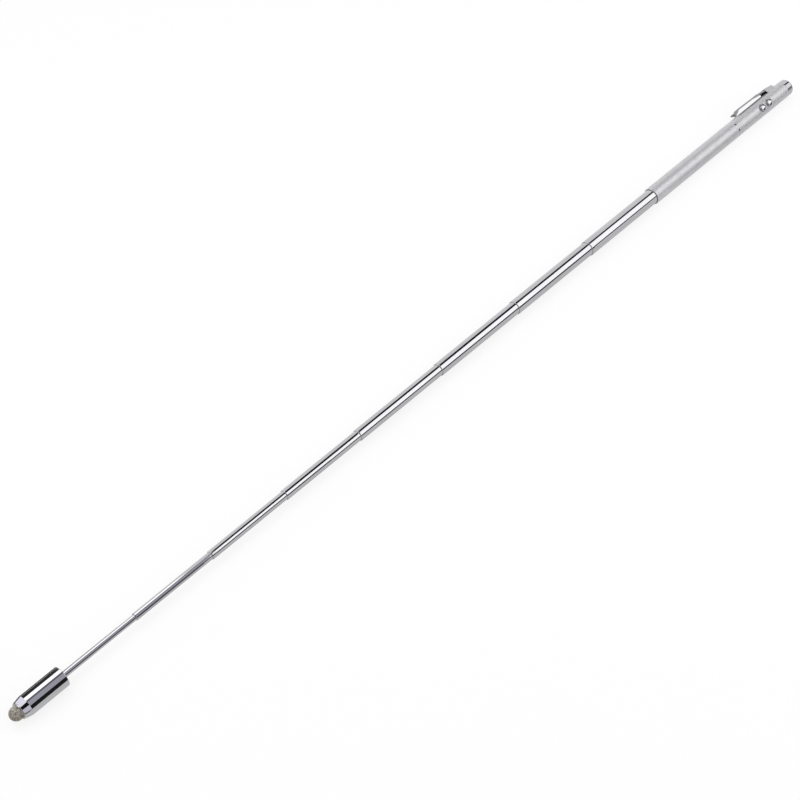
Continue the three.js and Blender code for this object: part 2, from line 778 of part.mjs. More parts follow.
const barrelRoom = turned([
  [clipRootStation - overshoot, 0],
  [clipRootStation - overshoot, upperOuter + restGap],
  [clipRearStation + overshoot, upperOuter + restGap],
  [clipRearStation + overshoot, 0],
], barrelFacets);
barrelRoom.rotateX(-clipTilt);
const rivetTop = bracketRearTop - bracketPlate;
const rivetRoom = post(0, rivetTop + looseFit, rivetDiameter / 2 + rivetClearance, smallFacets);
rivetRoom.translate(rivetStation, 0, 0);
addPiece(clipSide, 'clip_bracket', cut(bracketBlank, topSlope, channel, barrelRoom, rivetRoom), satinSilver);

// The rivet's head lies inside the barrel, and its shank ends in the bracket
const rivetHeadTop = boreAt(upperBore * Math.cos(Math.PI / barrelFacets), rivetHead / 2) - looseFit;
const rivetGeometry = turned([
  [rivetHeadTop - rivetHeadHeight, 0],
  [rivetHeadTop - rivetHeadHeight, rivetHead / 2],
  [rivetHeadTop, rivetHead / 2],
  [rivetHeadTop, rivetDiameter / 2],
  [rivetTop, rivetDiameter / 2],
  [rivetTop, 0],
], smallFacets);
rivetGeometry.rotateY(-Math.PI / 2);
addPiece(clipSide, 'clip_rivet', rivetGeometry, brass, rivetStation);

// The origin lies on the floor, under the middle of the pen's box
pen.updateMatrixWorld(true);
const box = new THREE.Box3().setFromObject(pen, true);
const centre = box.getCenter(new THREE.Vector3());
pen.position.set(-centre.x, -centre.y, -box.min.z);

const model = new THREE.Group();
model.add(pen);
model.updateMatrixWorld(true);

export default model;
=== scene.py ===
"""Telescopic laser pointer pen: its looks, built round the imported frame.

The pen lies along X with the laser end towards +X. Sizes are in millimetres and stations run along the
pen from the mouth of the lower barrel, as they do in the part's source. Finished meshes and the
studio are in metres.
"""

from __future__ import annotations

import logging
import math
from dataclasses import dataclass, field
from enum import Enum
from typing import Iterable, NamedTuple, Sequence

import bmesh
import bpy
from mathutils import Matrix, Vector

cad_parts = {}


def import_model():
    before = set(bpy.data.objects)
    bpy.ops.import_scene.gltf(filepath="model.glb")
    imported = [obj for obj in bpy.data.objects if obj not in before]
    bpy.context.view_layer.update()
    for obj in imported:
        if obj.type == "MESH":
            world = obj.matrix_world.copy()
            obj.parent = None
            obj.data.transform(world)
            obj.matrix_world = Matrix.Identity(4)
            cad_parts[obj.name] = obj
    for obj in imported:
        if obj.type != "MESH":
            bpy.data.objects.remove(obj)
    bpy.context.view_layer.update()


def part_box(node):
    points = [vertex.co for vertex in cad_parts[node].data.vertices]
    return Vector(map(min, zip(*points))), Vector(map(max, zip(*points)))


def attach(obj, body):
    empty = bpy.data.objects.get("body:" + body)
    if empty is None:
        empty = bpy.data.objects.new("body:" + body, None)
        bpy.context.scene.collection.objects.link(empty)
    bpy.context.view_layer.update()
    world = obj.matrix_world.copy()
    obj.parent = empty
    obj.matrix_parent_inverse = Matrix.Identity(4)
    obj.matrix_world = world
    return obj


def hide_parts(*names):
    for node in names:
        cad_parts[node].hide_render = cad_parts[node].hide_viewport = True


LOG = logging.getLogger("pointer_pen")
MM = 0.001
WHITE = "#FFFFFF"

# How finely the meshes are made
ROUND_FACETS = 96
SMALL_FACETS = 48
SOFT_STEPS = 4
BROKEN_EDGE = 0.05
SHARP_ANGLE = math.radians(38.0)
SHADING_WEIGHT = 100
MERGE_DISTANCE = 1e-4

# How every finish's noise is drawn, and which part of its range is spread over the tones and the gloss
NOISE_ROUGHNESS = 0.55
TONE_DETAIL = 3.0
FINE_DETAIL = 2.0
TONE_RANGE = (0.35, 0.65)
GLOSS_RANGE = (0.3, 0.7)
GLOSS_SHARE = 0.4

# What several sub-assemblies share: tilts are turns about the pen in degrees, and tube 1 is the rod
PEN_RADIUS = 4.9759
BUTTON_TILT = 40.5
CLIP_TILT = -58.5
LASER_OFFSET = -1.8
CONTROLS = ("lamp_button", "laser_button")
TUBES = range(2, 9)


# Colour and nodes

def linear_colour(code: str) -> tuple[float, float, float, float]:
    """Turns an sRGB hex colour to linear light.

    Args:
        code: Six hex digits, with or without a leading hash.

    Returns:
        The colour as four linear numbers, with an alpha of 1.
    """
    digits = code.lstrip("#")
    channels = [int(digits[i:i + 2], 16) / 255.0 for i in (0, 2, 4)]
    red, green, blue = [
        c / 12.92 if c <= 0.04045 else ((c + 0.055) / 1.055) ** 2.4 for c in channels
    ]
    return red, green, blue, 1.0


def add_node(
    tree: bpy.types.NodeTree,
    kind: str,
    settings: dict | None = None,
    sockets: dict | None = None,
) -> bpy.types.Node:
    """Adds one node with its settings and what feeds it.

    Args:
        tree: The node tree that the node goes into.
        kind: The node's type name.
        settings: Properties of the node and their values.
        sockets: Inputs by name or index, each a value or another node's output.

    Returns:
        The new node.
    """
    node = tree.nodes.new(kind)
    for name, value in (settings or {}).items():
        setattr(node, name, value)
    for key, value in (sockets or {}).items():
        if isinstance(value, bpy.types.NodeSocket):
            tree.links.new(value, node.inputs[key])
        else:
            node.inputs[key].default_value = value
    return node


def fresh_tree(owner: bpy.types.Material | bpy.types.World) -> bpy.types.NodeTree:
    """Empties the node tree of a material or a world and returns it."""
    owner.use_nodes = True
    owner.node_tree.nodes.clear()
    return owner.node_tree


def per_metre(size_mm: float) -> float:
    """Gives a texture's scale for a feature of that size on Object coordinates."""
    return 1.0 / (size_mm * MM)


@dataclass(frozen=True)
class Surface:
    """What every finish shares: a name, two close tones, a roughness range and a fine relief.

    The tones and the roughness wander over tone_size, and the relief has features of grain_size.
    """

    name: str
    light: str
    dark: str
    rough_low: float
    rough_high: float
    metallic: float = 1.0
    tone_size: float = 6.0
    grain_size: float = 0.4
    grain_depth: float = 0.002
    stretch: tuple[float, float, float] = (1.0, 1.0, 1.0)

    def material(self) -> bpy.types.Material:
        """Returns the finish's material, made the first time that it is asked for."""
        return bpy.data.materials.get(self.name) or self.make()

    def make(self) -> bpy.types.Material:
        """Builds the material.

        Returns:
            The new material, whose nodes end in its output.
        """
        made = bpy.data.materials.new(self.name)
        tree = fresh_tree(made)
        place = self.coordinates(tree)
        shader = add_node(tree, "ShaderNodeBsdfPrincipled", {}, {
            "Base Color": self.tone(tree, place),
            "Metallic": self.metallic,
            "Roughness": self.roughness(tree, place),
            "Normal": self.relief(tree, place),
        })
        self.finish(tree, shader)
        add_node(tree, "ShaderNodeOutputMaterial", {}, {"Surface": shader.outputs["BSDF"]})
        return made

    def coordinates(self, tree: bpy.types.NodeTree) -> bpy.types.NodeSocket:
        """Gives the Object coordinates, stretched along the grain's direction."""
        where = add_node(tree, "ShaderNodeTexCoord")
        return add_node(tree, "ShaderNodeMapping", {}, {
            "Vector": where.outputs["Object"],
            "Scale": self.stretch,
        }).outputs["Vector"]

    def noise(
        self, tree: bpy.types.NodeTree, place: bpy.types.NodeSocket, size: float, detail: float
    ) -> bpy.types.NodeSocket:
        """Gives a noise with features of a real size.

        Args:
            tree: The material's tree.
            place: The coordinates that it reads.
            size: The size of its features in millimetres.
            detail: How many finer layers it has.

        Returns:
            The noise's value socket.
        """
        return add_node(tree, "ShaderNodeTexNoise", {}, {
            "Vector": place,
            "Scale": per_metre(size),
            "Detail": detail,
            "Roughness": NOISE_ROUGHNESS,
        }).outputs["Fac"]

    def tone(self, tree: bpy.types.NodeTree, place: bpy.types.NodeSocket) -> bpy.types.NodeSocket:
        """Gives the colour, which wanders between the dark and the light tone.

        Args:
            tree: The material's tree.
            place: The coordinates that it reads.

        Returns:
            The colour's socket.
        """
        ramp = add_node(tree, "ShaderNodeValToRGB", {}, {
            "Fac": self.noise(tree, place, self.tone_size, TONE_DETAIL),
        })
        stops = zip(ramp.color_ramp.elements, TONE_RANGE, (self.dark, self.light))
        for stop, position, colour in stops:
            stop.position = position
            stop.color = linear_colour(colour)
        return ramp.outputs["Color"]

    def roughness(
        self, tree: bpy.types.NodeTree, place: bpy.types.NodeSocket
    ) -> bpy.types.NodeSocket:
        """Gives the roughness, which wanders within its range."""
        return add_node(tree, "ShaderNodeMapRange", {}, {
            "Value": self.noise(tree, place, self.tone_size * GLOSS_SHARE, FINE_DETAIL),
            "From Min": GLOSS_RANGE[0],
            "From Max": GLOSS_RANGE[1],
            "To Min": self.rough_low,
            "To Max": self.rough_high,
        }).outputs["Result"]

    def relief(self, tree: bpy.types.NodeTree, place: bpy.types.NodeSocket) -> bpy.types.NodeSocket:
        """Gives the normal of the fine relief, grain_depth high."""
        return add_node(tree, "ShaderNodeBump", {}, {
            "Strength": 1.0,
            "Distance": self.grain_depth * MM,
            "Height": self.noise(tree, place, self.grain_size, FINE_DETAIL),
        }).outputs["Normal"]

    def finish(self, tree: bpy.types.NodeTree, shader: bpy.types.Node) -> None:
        """Sets what only some finishes have; a plain one has nothing more."""


@dataclass(frozen=True)
class Moulded(Surface):
    """Moulded plastic or rubber: not metal, with the soft sheen of a fine moulded grain."""

    metallic: float = 0.0
    index: float = 1.5
    sheen: float = 0.0

    def finish(self, tree: bpy.types.NodeTree, shader: bpy.types.Node) -> None:
        """Sets the index of refraction and the dusty sheen of rubber."""
        shader.inputs["IOR"].default_value = self.index
        shader.inputs["Sheen Weight"].default_value = self.sheen


@dataclass(frozen=True)
class Clear(Surface):
    """Clear moulded plastic: light passes it, with faint flow marks in its surface."""

    metallic: float = 0.0
    index: float = 1.49

    def finish(self, tree: bpy.types.NodeTree, shader: bpy.types.Node) -> None:
        """Lets the light through at the plastic's index of refraction."""
        shader.inputs["IOR"].default_value = self.index
        shader.inputs["Transmission Weight"].default_value = 1.0


class Finish(Enum):
    """The finishes of the pen, each named for its real material and how it was worked, but for one
    near-black painted shade.
    """

    # Chromium plate polished over brass: a tight mirror that shows every edge of the studio
    CHROME = Surface("polished_chromium_plate", "#C3C3C6", "#BFBFC2", 0.03, 0.055,
                     tone_size=14.0, grain_size=2.4, grain_depth=0.0004)
    # Bead-blasted and satin-plated brass: a wide, soft highlight and a very fine matt grain.
    # The real grit is near 0.05 mm; it is drawn five times coarser so that it shows at all
    SATIN = Surface("satin_plated_brass", "#D3D3D5", "#CECED1", 0.5, 0.56,
                    tone_size=5.0, grain_size=0.25, grain_depth=0.004)
    # Rolled spring steel, brushed along its length: streaks run with the pen
    CLIP_STEEL = Surface("brushed_spring_steel", "#97989B", "#858689", 0.3, 0.42,
                         tone_size=1.2, grain_size=0.3, grain_depth=0.003, stretch=(0.08, 1.0, 1.0))
    # Near-black steel for the inside of the clip bracket's channel: painted shade for the dark mouth
    # under the clip, with a low, even gloss
    PAINTED_SHADE_BLACK = Surface("painted_shade_black_steel", "#28282B", "#1E1E20", 0.45, 0.58,
                        tone_size=1.5, grain_size=0.25, grain_depth=0.003)
    # Drawn steel wire: bright, with die marks along the wire
    WIRE_STEEL = Surface("drawn_steel_wire", "#B9BABD", "#A2A3A7", 0.22, 0.34,
                         tone_size=1.5, grain_size=0.2, grain_depth=0.002)
    # Machined brass: warm, with the fine rings that a lathe tool leaves
    BRASS = Surface("machined_brass", "#C9A869", "#B08F52", 0.2, 0.32,
                    tone_size=2.5, grain_size=0.2, grain_depth=0.003, stretch=(1.0, 0.2, 0.2))
    # Phosphor bronze strip: redder and duller than brass
    BRONZE = Surface("rolled_phosphor_bronze", "#B4895A", "#976F43", 0.28, 0.4,
                     tone_size=2.0, grain_size=0.25, grain_depth=0.003)
    # Nickel-coated yarn, woven: grey with a warm cast, soft glints on each thread
    YARN = Surface("woven_metallised_yarn", "#E2DED1", "#B0AB9B", 0.3, 0.38, metallic=0.92,
                   tone_size=1.3, grain_size=0.14, grain_depth=0.004)
    # Silicone rubber: black, dull, with a dusty edge
    RUBBER = Moulded("moulded_silicone_rubber", "#2B2B2C", "#1D1D1E", 0.75, 0.88,
                     tone_size=2.0, grain_size=0.3, grain_depth=0.01, index=1.41, sheen=0.2)
    # Nickel-plated can of a button cell: bright, slightly drawn
    CELL = Surface("nickel_plated_can", "#CBC8C1", "#B9B6AF", 0.16, 0.28,
                   tone_size=2.0, grain_size=0.35, grain_depth=0.002)
    # Moulded ABS, black, with a fine spark-eroded grain
    BLACK_PLASTIC = Moulded("moulded_black_abs", "#26272A", "#1B1C1E", 0.46, 0.6,
                            tone_size=2.5, grain_size=0.25, grain_depth=0.006, index=1.54)
    # Moulded polypropylene, white, slightly translucent looking
    WHITE_PLASTIC = Moulded("moulded_white_polypropylene", "#ECE9E1", "#DFDCD3", 0.42, 0.56,
                            tone_size=3.0, grain_size=0.4, grain_depth=0.004)
    # Glass-fibre board under green solder resist: a low gloss over a fine weave
    BOARD = Moulded("solder_resist_on_glass_fibre", "#34753F", "#265B31", 0.3, 0.45,
                    tone_size=0.8, grain_size=0.35, grain_depth=0.006, index=1.52)
    # Clear polycarbonate: nearly flat, with faint flow lines
    CLEAR_PLASTIC = Clear("clear_polycarbonate", "#F4F8F9", "#EEF3F5", 0.01, 0.03,
                          tone_size=6.0, grain_size=3.0, grain_depth=0.001, index=1.585)

    def material(self) -> bpy.types.Material:
        """Returns the finish's material."""
        return self.value.material()


# Shapes

class Corner(NamedTuple):
    """A corner of a turned profile: its station, its radius and how far it is rounded off."""

    station: float
    radius: float
    soft: float = 0.0


def same_place(vert: bmesh.types.BMVert, corner: Corner) -> bool:
    """Tells whether a vertex of a turned mesh lies on the circle of a corner."""
    radius = math.hypot(vert.co.y, vert.co.z)
    return (abs(vert.co.x - corner.station) < MERGE_DISTANCE
            and abs(radius - corner.radius) < MERGE_DISTANCE)


def soften(mesh: bmesh.types.BMesh, edges: Iterable[bmesh.types.BMEdge], width: float) -> None:
    """Rounds edges off.

    Args:
        mesh: The mesh that they belong to.
        edges: The edges to round.
        width: How far the rounding reaches from each edge, in millimetres.
    """
    bmesh.ops.bevel(mesh, geom=list(edges), offset=width, offset_type="OFFSET", segments=SOFT_STEPS,
                    profile=0.5, affect="EDGES", clamp_overlap=True, material=-1)


def turn(
    profile: Sequence[Corner], facets: int = ROUND_FACETS, closed: bool = True
) -> bmesh.types.BMesh:
    """Turns a profile about the pen's axis, which is X here.

    Args:
        profile: Corners along the outline. A closed one goes round a wall, and an open one starts and
            ends on the axis.
        facets: How many faces go round.
        closed: Whether the last corner joins the first.

    Returns:
        The turned mesh, with its corners rounded and its faces outwards.
    """
    mesh = bmesh.new()
    verts = [mesh.verts.new((corner.station, 0.0, corner.radius)) for corner in profile]
    following = verts[1:] + verts[:1] if closed else verts[1:]
    for first, second in zip(verts, following):
        mesh.edges.new((first, second))
    bmesh.ops.spin(mesh, geom=[*mesh.verts, *mesh.edges], axis=(1.0, 0.0, 0.0), angle=math.tau,
                   steps=facets, use_merge=True)
    bmesh.ops.remove_doubles(mesh, verts=mesh.verts, dist=MERGE_DISTANCE)
    bmesh.ops.recalc_face_normals(mesh, faces=mesh.faces)
    for corner in profile:
        if corner.soft > 0.0:
            rim = [edge for edge in mesh.edges if all(same_place(v, corner) for v in edge.verts)]
            soften(mesh, rim, corner.soft)
    bmesh.ops.recalc_face_normals(mesh, faces=mesh.faces)
    return mesh


def tube(
    start: float, end: float, bore: float, outer: float, soft: float = BROKEN_EDGE,
    facets: int = ROUND_FACETS,
) -> bmesh.types.BMesh:
    """Turns a plain tube with lightly broken edges.

    Args:
        start: Station of its first face.
        end: Station of its other face.
        bore: Radius of its bore.
        outer: Radius of its outside.
        soft: How far its edges are rounded off.
        facets: How many faces go round.

    Returns:
        The tube's mesh.
    """
    return turn([Corner(start, bore, soft), Corner(start, outer, soft),
                 Corner(end, outer, soft), Corner(end, bore, soft)], facets)


def rod(
    start: float, end: float, radius: float, soft: float = BROKEN_EDGE,
    facets: int = SMALL_FACETS,
) -> bmesh.types.BMesh:
    """Turns a solid round bar with lightly broken edges.

    Args:
        start: Station of its first face.
        end: Station of its other face.
        radius: Its radius.
        soft: How far its edges are rounded off.
        facets: How many faces go round.

    Returns:
        The bar's mesh.
    """
    return turn([Corner(start, 0.0), Corner(start, radius, soft),
                 Corner(end, radius, soft), Corner(end, 0.0)], facets, closed=False)


def upright(mesh: bmesh.types.BMesh, station: float) -> bmesh.types.BMesh:
    """Stands a turned mesh up along +Z, with its axis at a station, and returns it."""
    mesh.transform(Matrix.Translation((station, 0.0, 0.0)) @ Matrix.Rotation(-math.pi / 2, 4, "Y"))
    return mesh


def tilted(mesh: bmesh.types.BMesh, tilt: float) -> bmesh.types.BMesh:
    """Turns a mesh about the pen's axis by that many degrees and returns it."""
    mesh.transform(Matrix.Rotation(math.radians(tilt), 4, "X"))
    return mesh


def beside(mesh: bmesh.types.BMesh, offset: float) -> bmesh.types.BMesh:
    """Moves a mesh sideways from the pen's axis and returns it."""
    bmesh.ops.translate(mesh, verts=mesh.verts, vec=(0.0, offset, 0.0))
    return mesh


def extrude(
    mesh: bmesh.types.BMesh, face: bmesh.types.BMFace, move: tuple[float, float, float]
) -> list[bmesh.types.BMVert]:
    """Extrudes a face to a block.

    Args:
        mesh: The mesh that the face belongs to.
        face: The face.
        move: How far its other end is moved.

    Returns:
        The vertices of the block's other end.
    """
    swept = bmesh.ops.extrude_face_region(mesh, geom=[face])
    moved = [item for item in swept["geom"] if isinstance(item, bmesh.types.BMVert)]
    bmesh.ops.translate(mesh, verts=moved, vec=move)
    return moved


def merged(*meshes: bmesh.types.BMesh) -> bmesh.types.BMesh:
    """Joins several meshes in work.

    Args:
        meshes: The meshes, of which all but the first are freed.

    Returns:
        The first mesh, which holds them all.
    """
    first, *others = meshes
    for other in others:
        holder = bpy.data.meshes.new("holder")
        other.to_mesh(holder)
        other.free()
        first.from_mesh(holder)
        bpy.data.meshes.remove(holder)
    return first


def linked(name: str, data: bpy.types.ID) -> bpy.types.Object:
    """Makes an object of some data, links it to the scene and returns it."""
    made = bpy.data.objects.new(name, data)
    bpy.context.scene.collection.objects.link(made)
    return made


def mesh_object(name: str, mesh: bmesh.types.BMesh) -> bpy.types.Object:
    """Makes a linked object from a mesh in work, which is freed.

    Args:
        name: The object's name.
        mesh: The mesh in work.

    Returns:
        The new object.
    """
    data = bpy.data.meshes.new(name)
    mesh.to_mesh(data)
    mesh.free()
    return linked(name, data)


def settled(item: bpy.types.Object) -> bmesh.types.BMesh:
    """Reads an object's shape with its modifiers or bevel applied.

    Args:
        item: The object, which stays as it is.

    Returns:
        Its shape as a new mesh in work.
    """
    result = bpy.data.meshes.new_from_object(
        item.evaluated_get(bpy.context.evaluated_depsgraph_get()))
    mesh = bmesh.new()
    mesh.from_mesh(result)
    bpy.data.meshes.remove(result)
    return mesh


def carved(body: bmesh.types.BMesh, *tools: bmesh.types.BMesh) -> bmesh.types.BMesh:
    """Cuts tools out of a body.

    Args:
        body: The closed mesh that is cut.
        tools: The closed meshes that are taken away from it.

    Returns:
        The cut mesh.
    """
    blank = mesh_object("blank", body)
    cutters = [mesh_object("cutter", tool) for tool in tools]
    for cutter in cutters:
        cut = blank.modifiers.new("cut", "BOOLEAN")
        cut.operation = "DIFFERENCE"
        cut.solver = "EXACT"
        cut.object = cutter
    mesh = settled(blank)
    for item in [blank, *cutters]:
        data = item.data
        bpy.data.objects.remove(item)
        bpy.data.meshes.remove(data)
    bmesh.ops.remove_doubles(mesh, verts=mesh.verts, dist=MERGE_DISTANCE)
    return mesh


@dataclass(frozen=True)
class PenAxis:
    """Where the pen's axis runs, read from the lower barrel of the frame."""

    mouth: float
    across: float
    height: float

    @classmethod
    def from_frame(cls) -> PenAxis:
        """Reads the axis from the lower barrel's box."""
        low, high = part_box("lower_barrel")
        return cls(low.x, (low.y + high.y) / 2, (low.z + high.z) / 2)

    @property
    def origin(self) -> Vector:
        """The point of the axis in the lower barrel's mouth."""
        return Vector((self.mouth, self.across, self.height))

    def matrix(self, tilt: float = 0.0) -> Matrix:
        """Gives the move from a group's own millimetres to the row frame.

        Args:
            tilt: How far the group is turned about the pen, in degrees.

        Returns:
            The matrix that places and scales the group's meshes.
        """
        return (Matrix.Translation(self.origin) @ Matrix.Rotation(math.radians(tilt), 4, "X")
                @ Matrix.Scale(MM, 4))

    def span(self, node: str) -> tuple[float, float]:
        """Gives the two stations between which a node of the frame lies, in millimetres."""
        low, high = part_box(node)
        return (low.x - self.mouth) / MM, (high.x - self.mouth) / MM


@dataclass
class SubAssembly:
    """One part of the pen that is built and dressed together."""

    axis: PenAxis

    def piece(
        self, name: str, mesh: bmesh.types.BMesh, finish: Finish, slot: str, body: str,
        replaces: Sequence[str], tilt: float = 0.0,
    ) -> bpy.types.Object:
        """Finishes a mesh as a piece of the pen.

        Args:
            name: The piece's name.
            mesh: Its mesh in millimetres, which is freed.
            finish: Its finish.
            slot: The name of one of the record's material slots; not used.
            body: The body that it rides on.
            replaces: The nodes of the frame that it stands for.
            tilt: How far its group is turned about the pen, in degrees.

        Returns:
            The finished object.
        """
        mesh.transform(self.axis.matrix(tilt))
        for face in mesh.faces:
            face.smooth = True
        for edge in mesh.edges:
            edge.smooth = edge.calc_face_angle(0.0) < SHARP_ANGLE
        made = mesh_object(name, mesh)
        made.data.materials.append(finish.material())
        shading = made.modifiers.new("even_shading", "WEIGHTED_NORMAL")
        shading.keep_sharp = True
        shading.weight = SHADING_WEIGHT
        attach(made, body)
        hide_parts(*replaces)
        LOG.info("%s: %d faces, rides on %s", name, len(made.data.polygons), body)
        return made

    def build(self) -> None:
        """Builds every piece of the sub-assembly."""
        raise NotImplementedError


@dataclass
class Telescope(SubAssembly):
    """The rod and the seven tubes that slide into each other."""

    rod_radius: float = 1.5
    radius_step: float = 0.41
    wall: float = 0.28
    lip_gap: float = 0.04
    lip_length: float = 0.8
    lip_taper: float = 0.3
    lip_rounding: float = 0.32
    outer_edge: float = 0.06
    bore_edge: float = 0.04
    rod_edge: float = 0.12

    def radius(self, number: int) -> float:
        """Gives the outer radius of a section, where number 1 is the rod."""
        return self.rod_radius + (number - 1) * self.radius_step

    def section(self, number: int) -> bmesh.types.BMesh:
        """Turns one tube, with its mouth rolled in round the next smaller section.

        Args:
            number: The tube's number, from the thinnest to the widest.

        Returns:
            The tube's mesh.
        """
        start, end = self.axis.span(f"tube_{number}")
        outer = self.radius(number)
        bore = outer - self.wall
        lip = self.radius(number - 1) + self.lip_gap
        return turn([
            Corner(end, outer, self.outer_edge),
            Corner(end, bore, self.bore_edge),
            Corner(start + self.lip_length, bore),
            Corner(start + self.lip_length - self.lip_taper, lip),
            Corner(start, lip, self.outer_edge),
            Corner(start, outer, self.lip_rounding),
        ])

    def build(self) -> None:
        """Builds the rod and the tubes."""
        start, end = self.axis.span("tip_rod")
        bar = rod(start, end, self.rod_radius, self.rod_edge, ROUND_FACETS)
        self.piece("telescope_rod", bar, Finish.CHROME, "chrome_plate", "stylus", ["tip_rod"])
        for number in TUBES:
            self.piece(f"telescope_tube_{number}", self.section(number), Finish.CHROME,
                       "chrome_plate", f"tube_{number}", [f"tube_{number}"])


@dataclass
class StylusHead(SubAssembly):
    """The turned head: its shell, the lip round the ball and the woven ball itself."""

    outer: float = PEN_RADIUS
    wall: float = 0.8
    rear_edge: float = 0.3
    shoulder_edge: float = 0.06
    fine_edge: float = 0.04
    nose_length: float = 4.0
    ring_length: float = 0.45
    lip_rounding: float = 0.1
    nose_bore: float = 3.8
    nose_rim: float = 0.44
    seat_gap: float = 0.05
    ball_radius: float = 3.4
    ball_reach: float = 4.7
    cloth_mouth: float = 3.7
    cloth_hidden: float = 0.6
    thread_pitch: float = 0.46
    thread_radius: float = 0.115
    thread_lift: float = 0.1
    thread_steps: int = 6
    thread_resolution: int = 1

    @property
    def cloth_radius(self) -> float:
        """Radius of the cloth's middle on the ball, below the threads that stand proud of it."""
        return self.ball_radius - self.thread_lift - self.thread_radius

    def build(self) -> None:
        """Builds the shell, the lip and the ball."""
        head_rear = self.axis.span("stylus_shell")[1]
        nose_end = self.axis.span("nose_ring")[0]
        centre = nose_end - self.ball_reach + self.ball_radius
        bore = self.nose_bore
        rim = bore + self.nose_rim
        ring_end = nose_end + self.ring_length
        shoulder = nose_end + self.nose_length
        head_bore = self.outer - self.wall
        shell = turn([
            Corner(head_rear, self.outer, self.rear_edge),
            Corner(head_rear, head_bore, BROKEN_EDGE),
            Corner(shoulder + self.wall, head_bore),
            Corner(ring_end + self.wall, rim - self.wall / 2),
            Corner(ring_end + self.wall, bore),
            Corner(ring_end + self.seat_gap, bore),
            Corner(ring_end + self.seat_gap, rim, self.fine_edge),
            Corner(shoulder, self.outer, self.shoulder_edge),
        ])
        self.piece("stylus_head_shell", shell, Finish.CHROME, "chrome_plate", "stylus",
                   ["stylus_shell"])
        lip = turn([
            Corner(nose_end, bore, self.fine_edge),
            Corner(nose_end, rim, self.lip_rounding),
            Corner(ring_end, rim, self.fine_edge),
            Corner(ring_end, bore),
        ])
        self.piece("stylus_nose_lip", lip, Finish.CHROME, "chrome_plate", "stylus", ["nose_ring"])
        self.piece("woven_ball_tip", self.woven_ball(centre), Finish.YARN, "woven_mesh", "stylus",
                   ["mesh_tip"])

    def cloth_outline(self, reach: float, lift: float) -> tuple[float, float]:
        """Follows the cloth's outline from the ball's pole: round the ball, then out to the lip.

        Args:
            reach: How far the point lies from the pole, along the middle of the cloth.
            lift: How far it stands off the middle of the cloth.

        Returns:
            Its station from the ball's centre, and its radius.
        """
        middle = self.cloth_radius
        widest = middle * math.pi / 2
        if reach < widest:
            turned = reach / middle
            return -(middle + lift) * math.cos(turned), (middle + lift) * math.sin(turned)
        beyond = reach - widest
        flare = (self.cloth_mouth - self.ball_radius) / (self.ball_reach - self.ball_radius) ** 2
        return beyond, middle + lift + flare * beyond ** 2

    def woven_ball(self, centre: float) -> bmesh.types.BMesh:
        """Weaves threads over and under each other round the ball, out to the nose's lip.

        The real yarn is near 0.15 mm; it is drawn three times coarser so that the weave shows.

        Args:
            centre: Station of the ball's centre.

        Returns:
            The mesh of all the threads and of the dense ground below them.
        """
        cloth_edge = (self.cloth_radius * math.pi / 2 + self.ball_reach - self.ball_radius
                      + self.cloth_hidden)
        line = bpy.data.curves.new("threads", "CURVE")
        line.dimensions = "3D"
        line.bevel_depth = self.thread_radius
        line.bevel_resolution = self.thread_resolution
        line.use_fill_caps = True
        count = int(cloth_edge / self.thread_pitch)
        step = self.thread_pitch / self.thread_steps
        for number in range(-count, count + 1):
            offset = number * self.thread_pitch
            half = math.sqrt(max(0.0, cloth_edge ** 2 - offset ** 2))
            steps = int(half / step)
            if steps < self.thread_steps:
                continue
            for first_way in (True, False):
                thread = line.splines.new("POLY")
                thread.points.add(2 * steps)
                for index, point in enumerate(thread.points):
                    run = (index - steps) * step
                    wave = self.thread_lift * math.cos(math.pi * (run / self.thread_pitch + number))
                    reach = math.hypot(run, offset)
                    station, radius = self.cloth_outline(reach, wave if first_way else -wave)
                    share = radius / max(reach, MERGE_DISTANCE)
                    along, across = (run, offset) if first_way else (offset, run)
                    point.co = (station, share * along, share * across, 1.0)
        holder = linked("threads", line)
        woven = settled(holder)
        bpy.data.objects.remove(holder)
        bpy.data.curves.remove(line)
        whole = merged(woven, self.cloth_ground(cloth_edge))
        bmesh.ops.translate(whole, verts=whole.verts, vec=(centre, 0.0, 0.0))
        return whole

    def cloth_ground(self, cloth_edge: float) -> bmesh.types.BMesh:
        """Turns the dense ground that closes the gaps between the threads.

        Args:
            cloth_edge: How far the cloth reaches from the ball's pole.

        Returns:
            The ground's mesh, closed at the back.
        """
        steps = SMALL_FACETS
        outline = [self.cloth_outline(cloth_edge * i / steps, 0.0) for i in range(1, steps + 1)]
        pole = self.cloth_outline(0.0, 0.0)[0]
        return turn([Corner(pole, 0.0), *[Corner(*point) for point in outline],
                     Corner(outline[-1][0], 0.0)], SMALL_FACETS, closed=False)


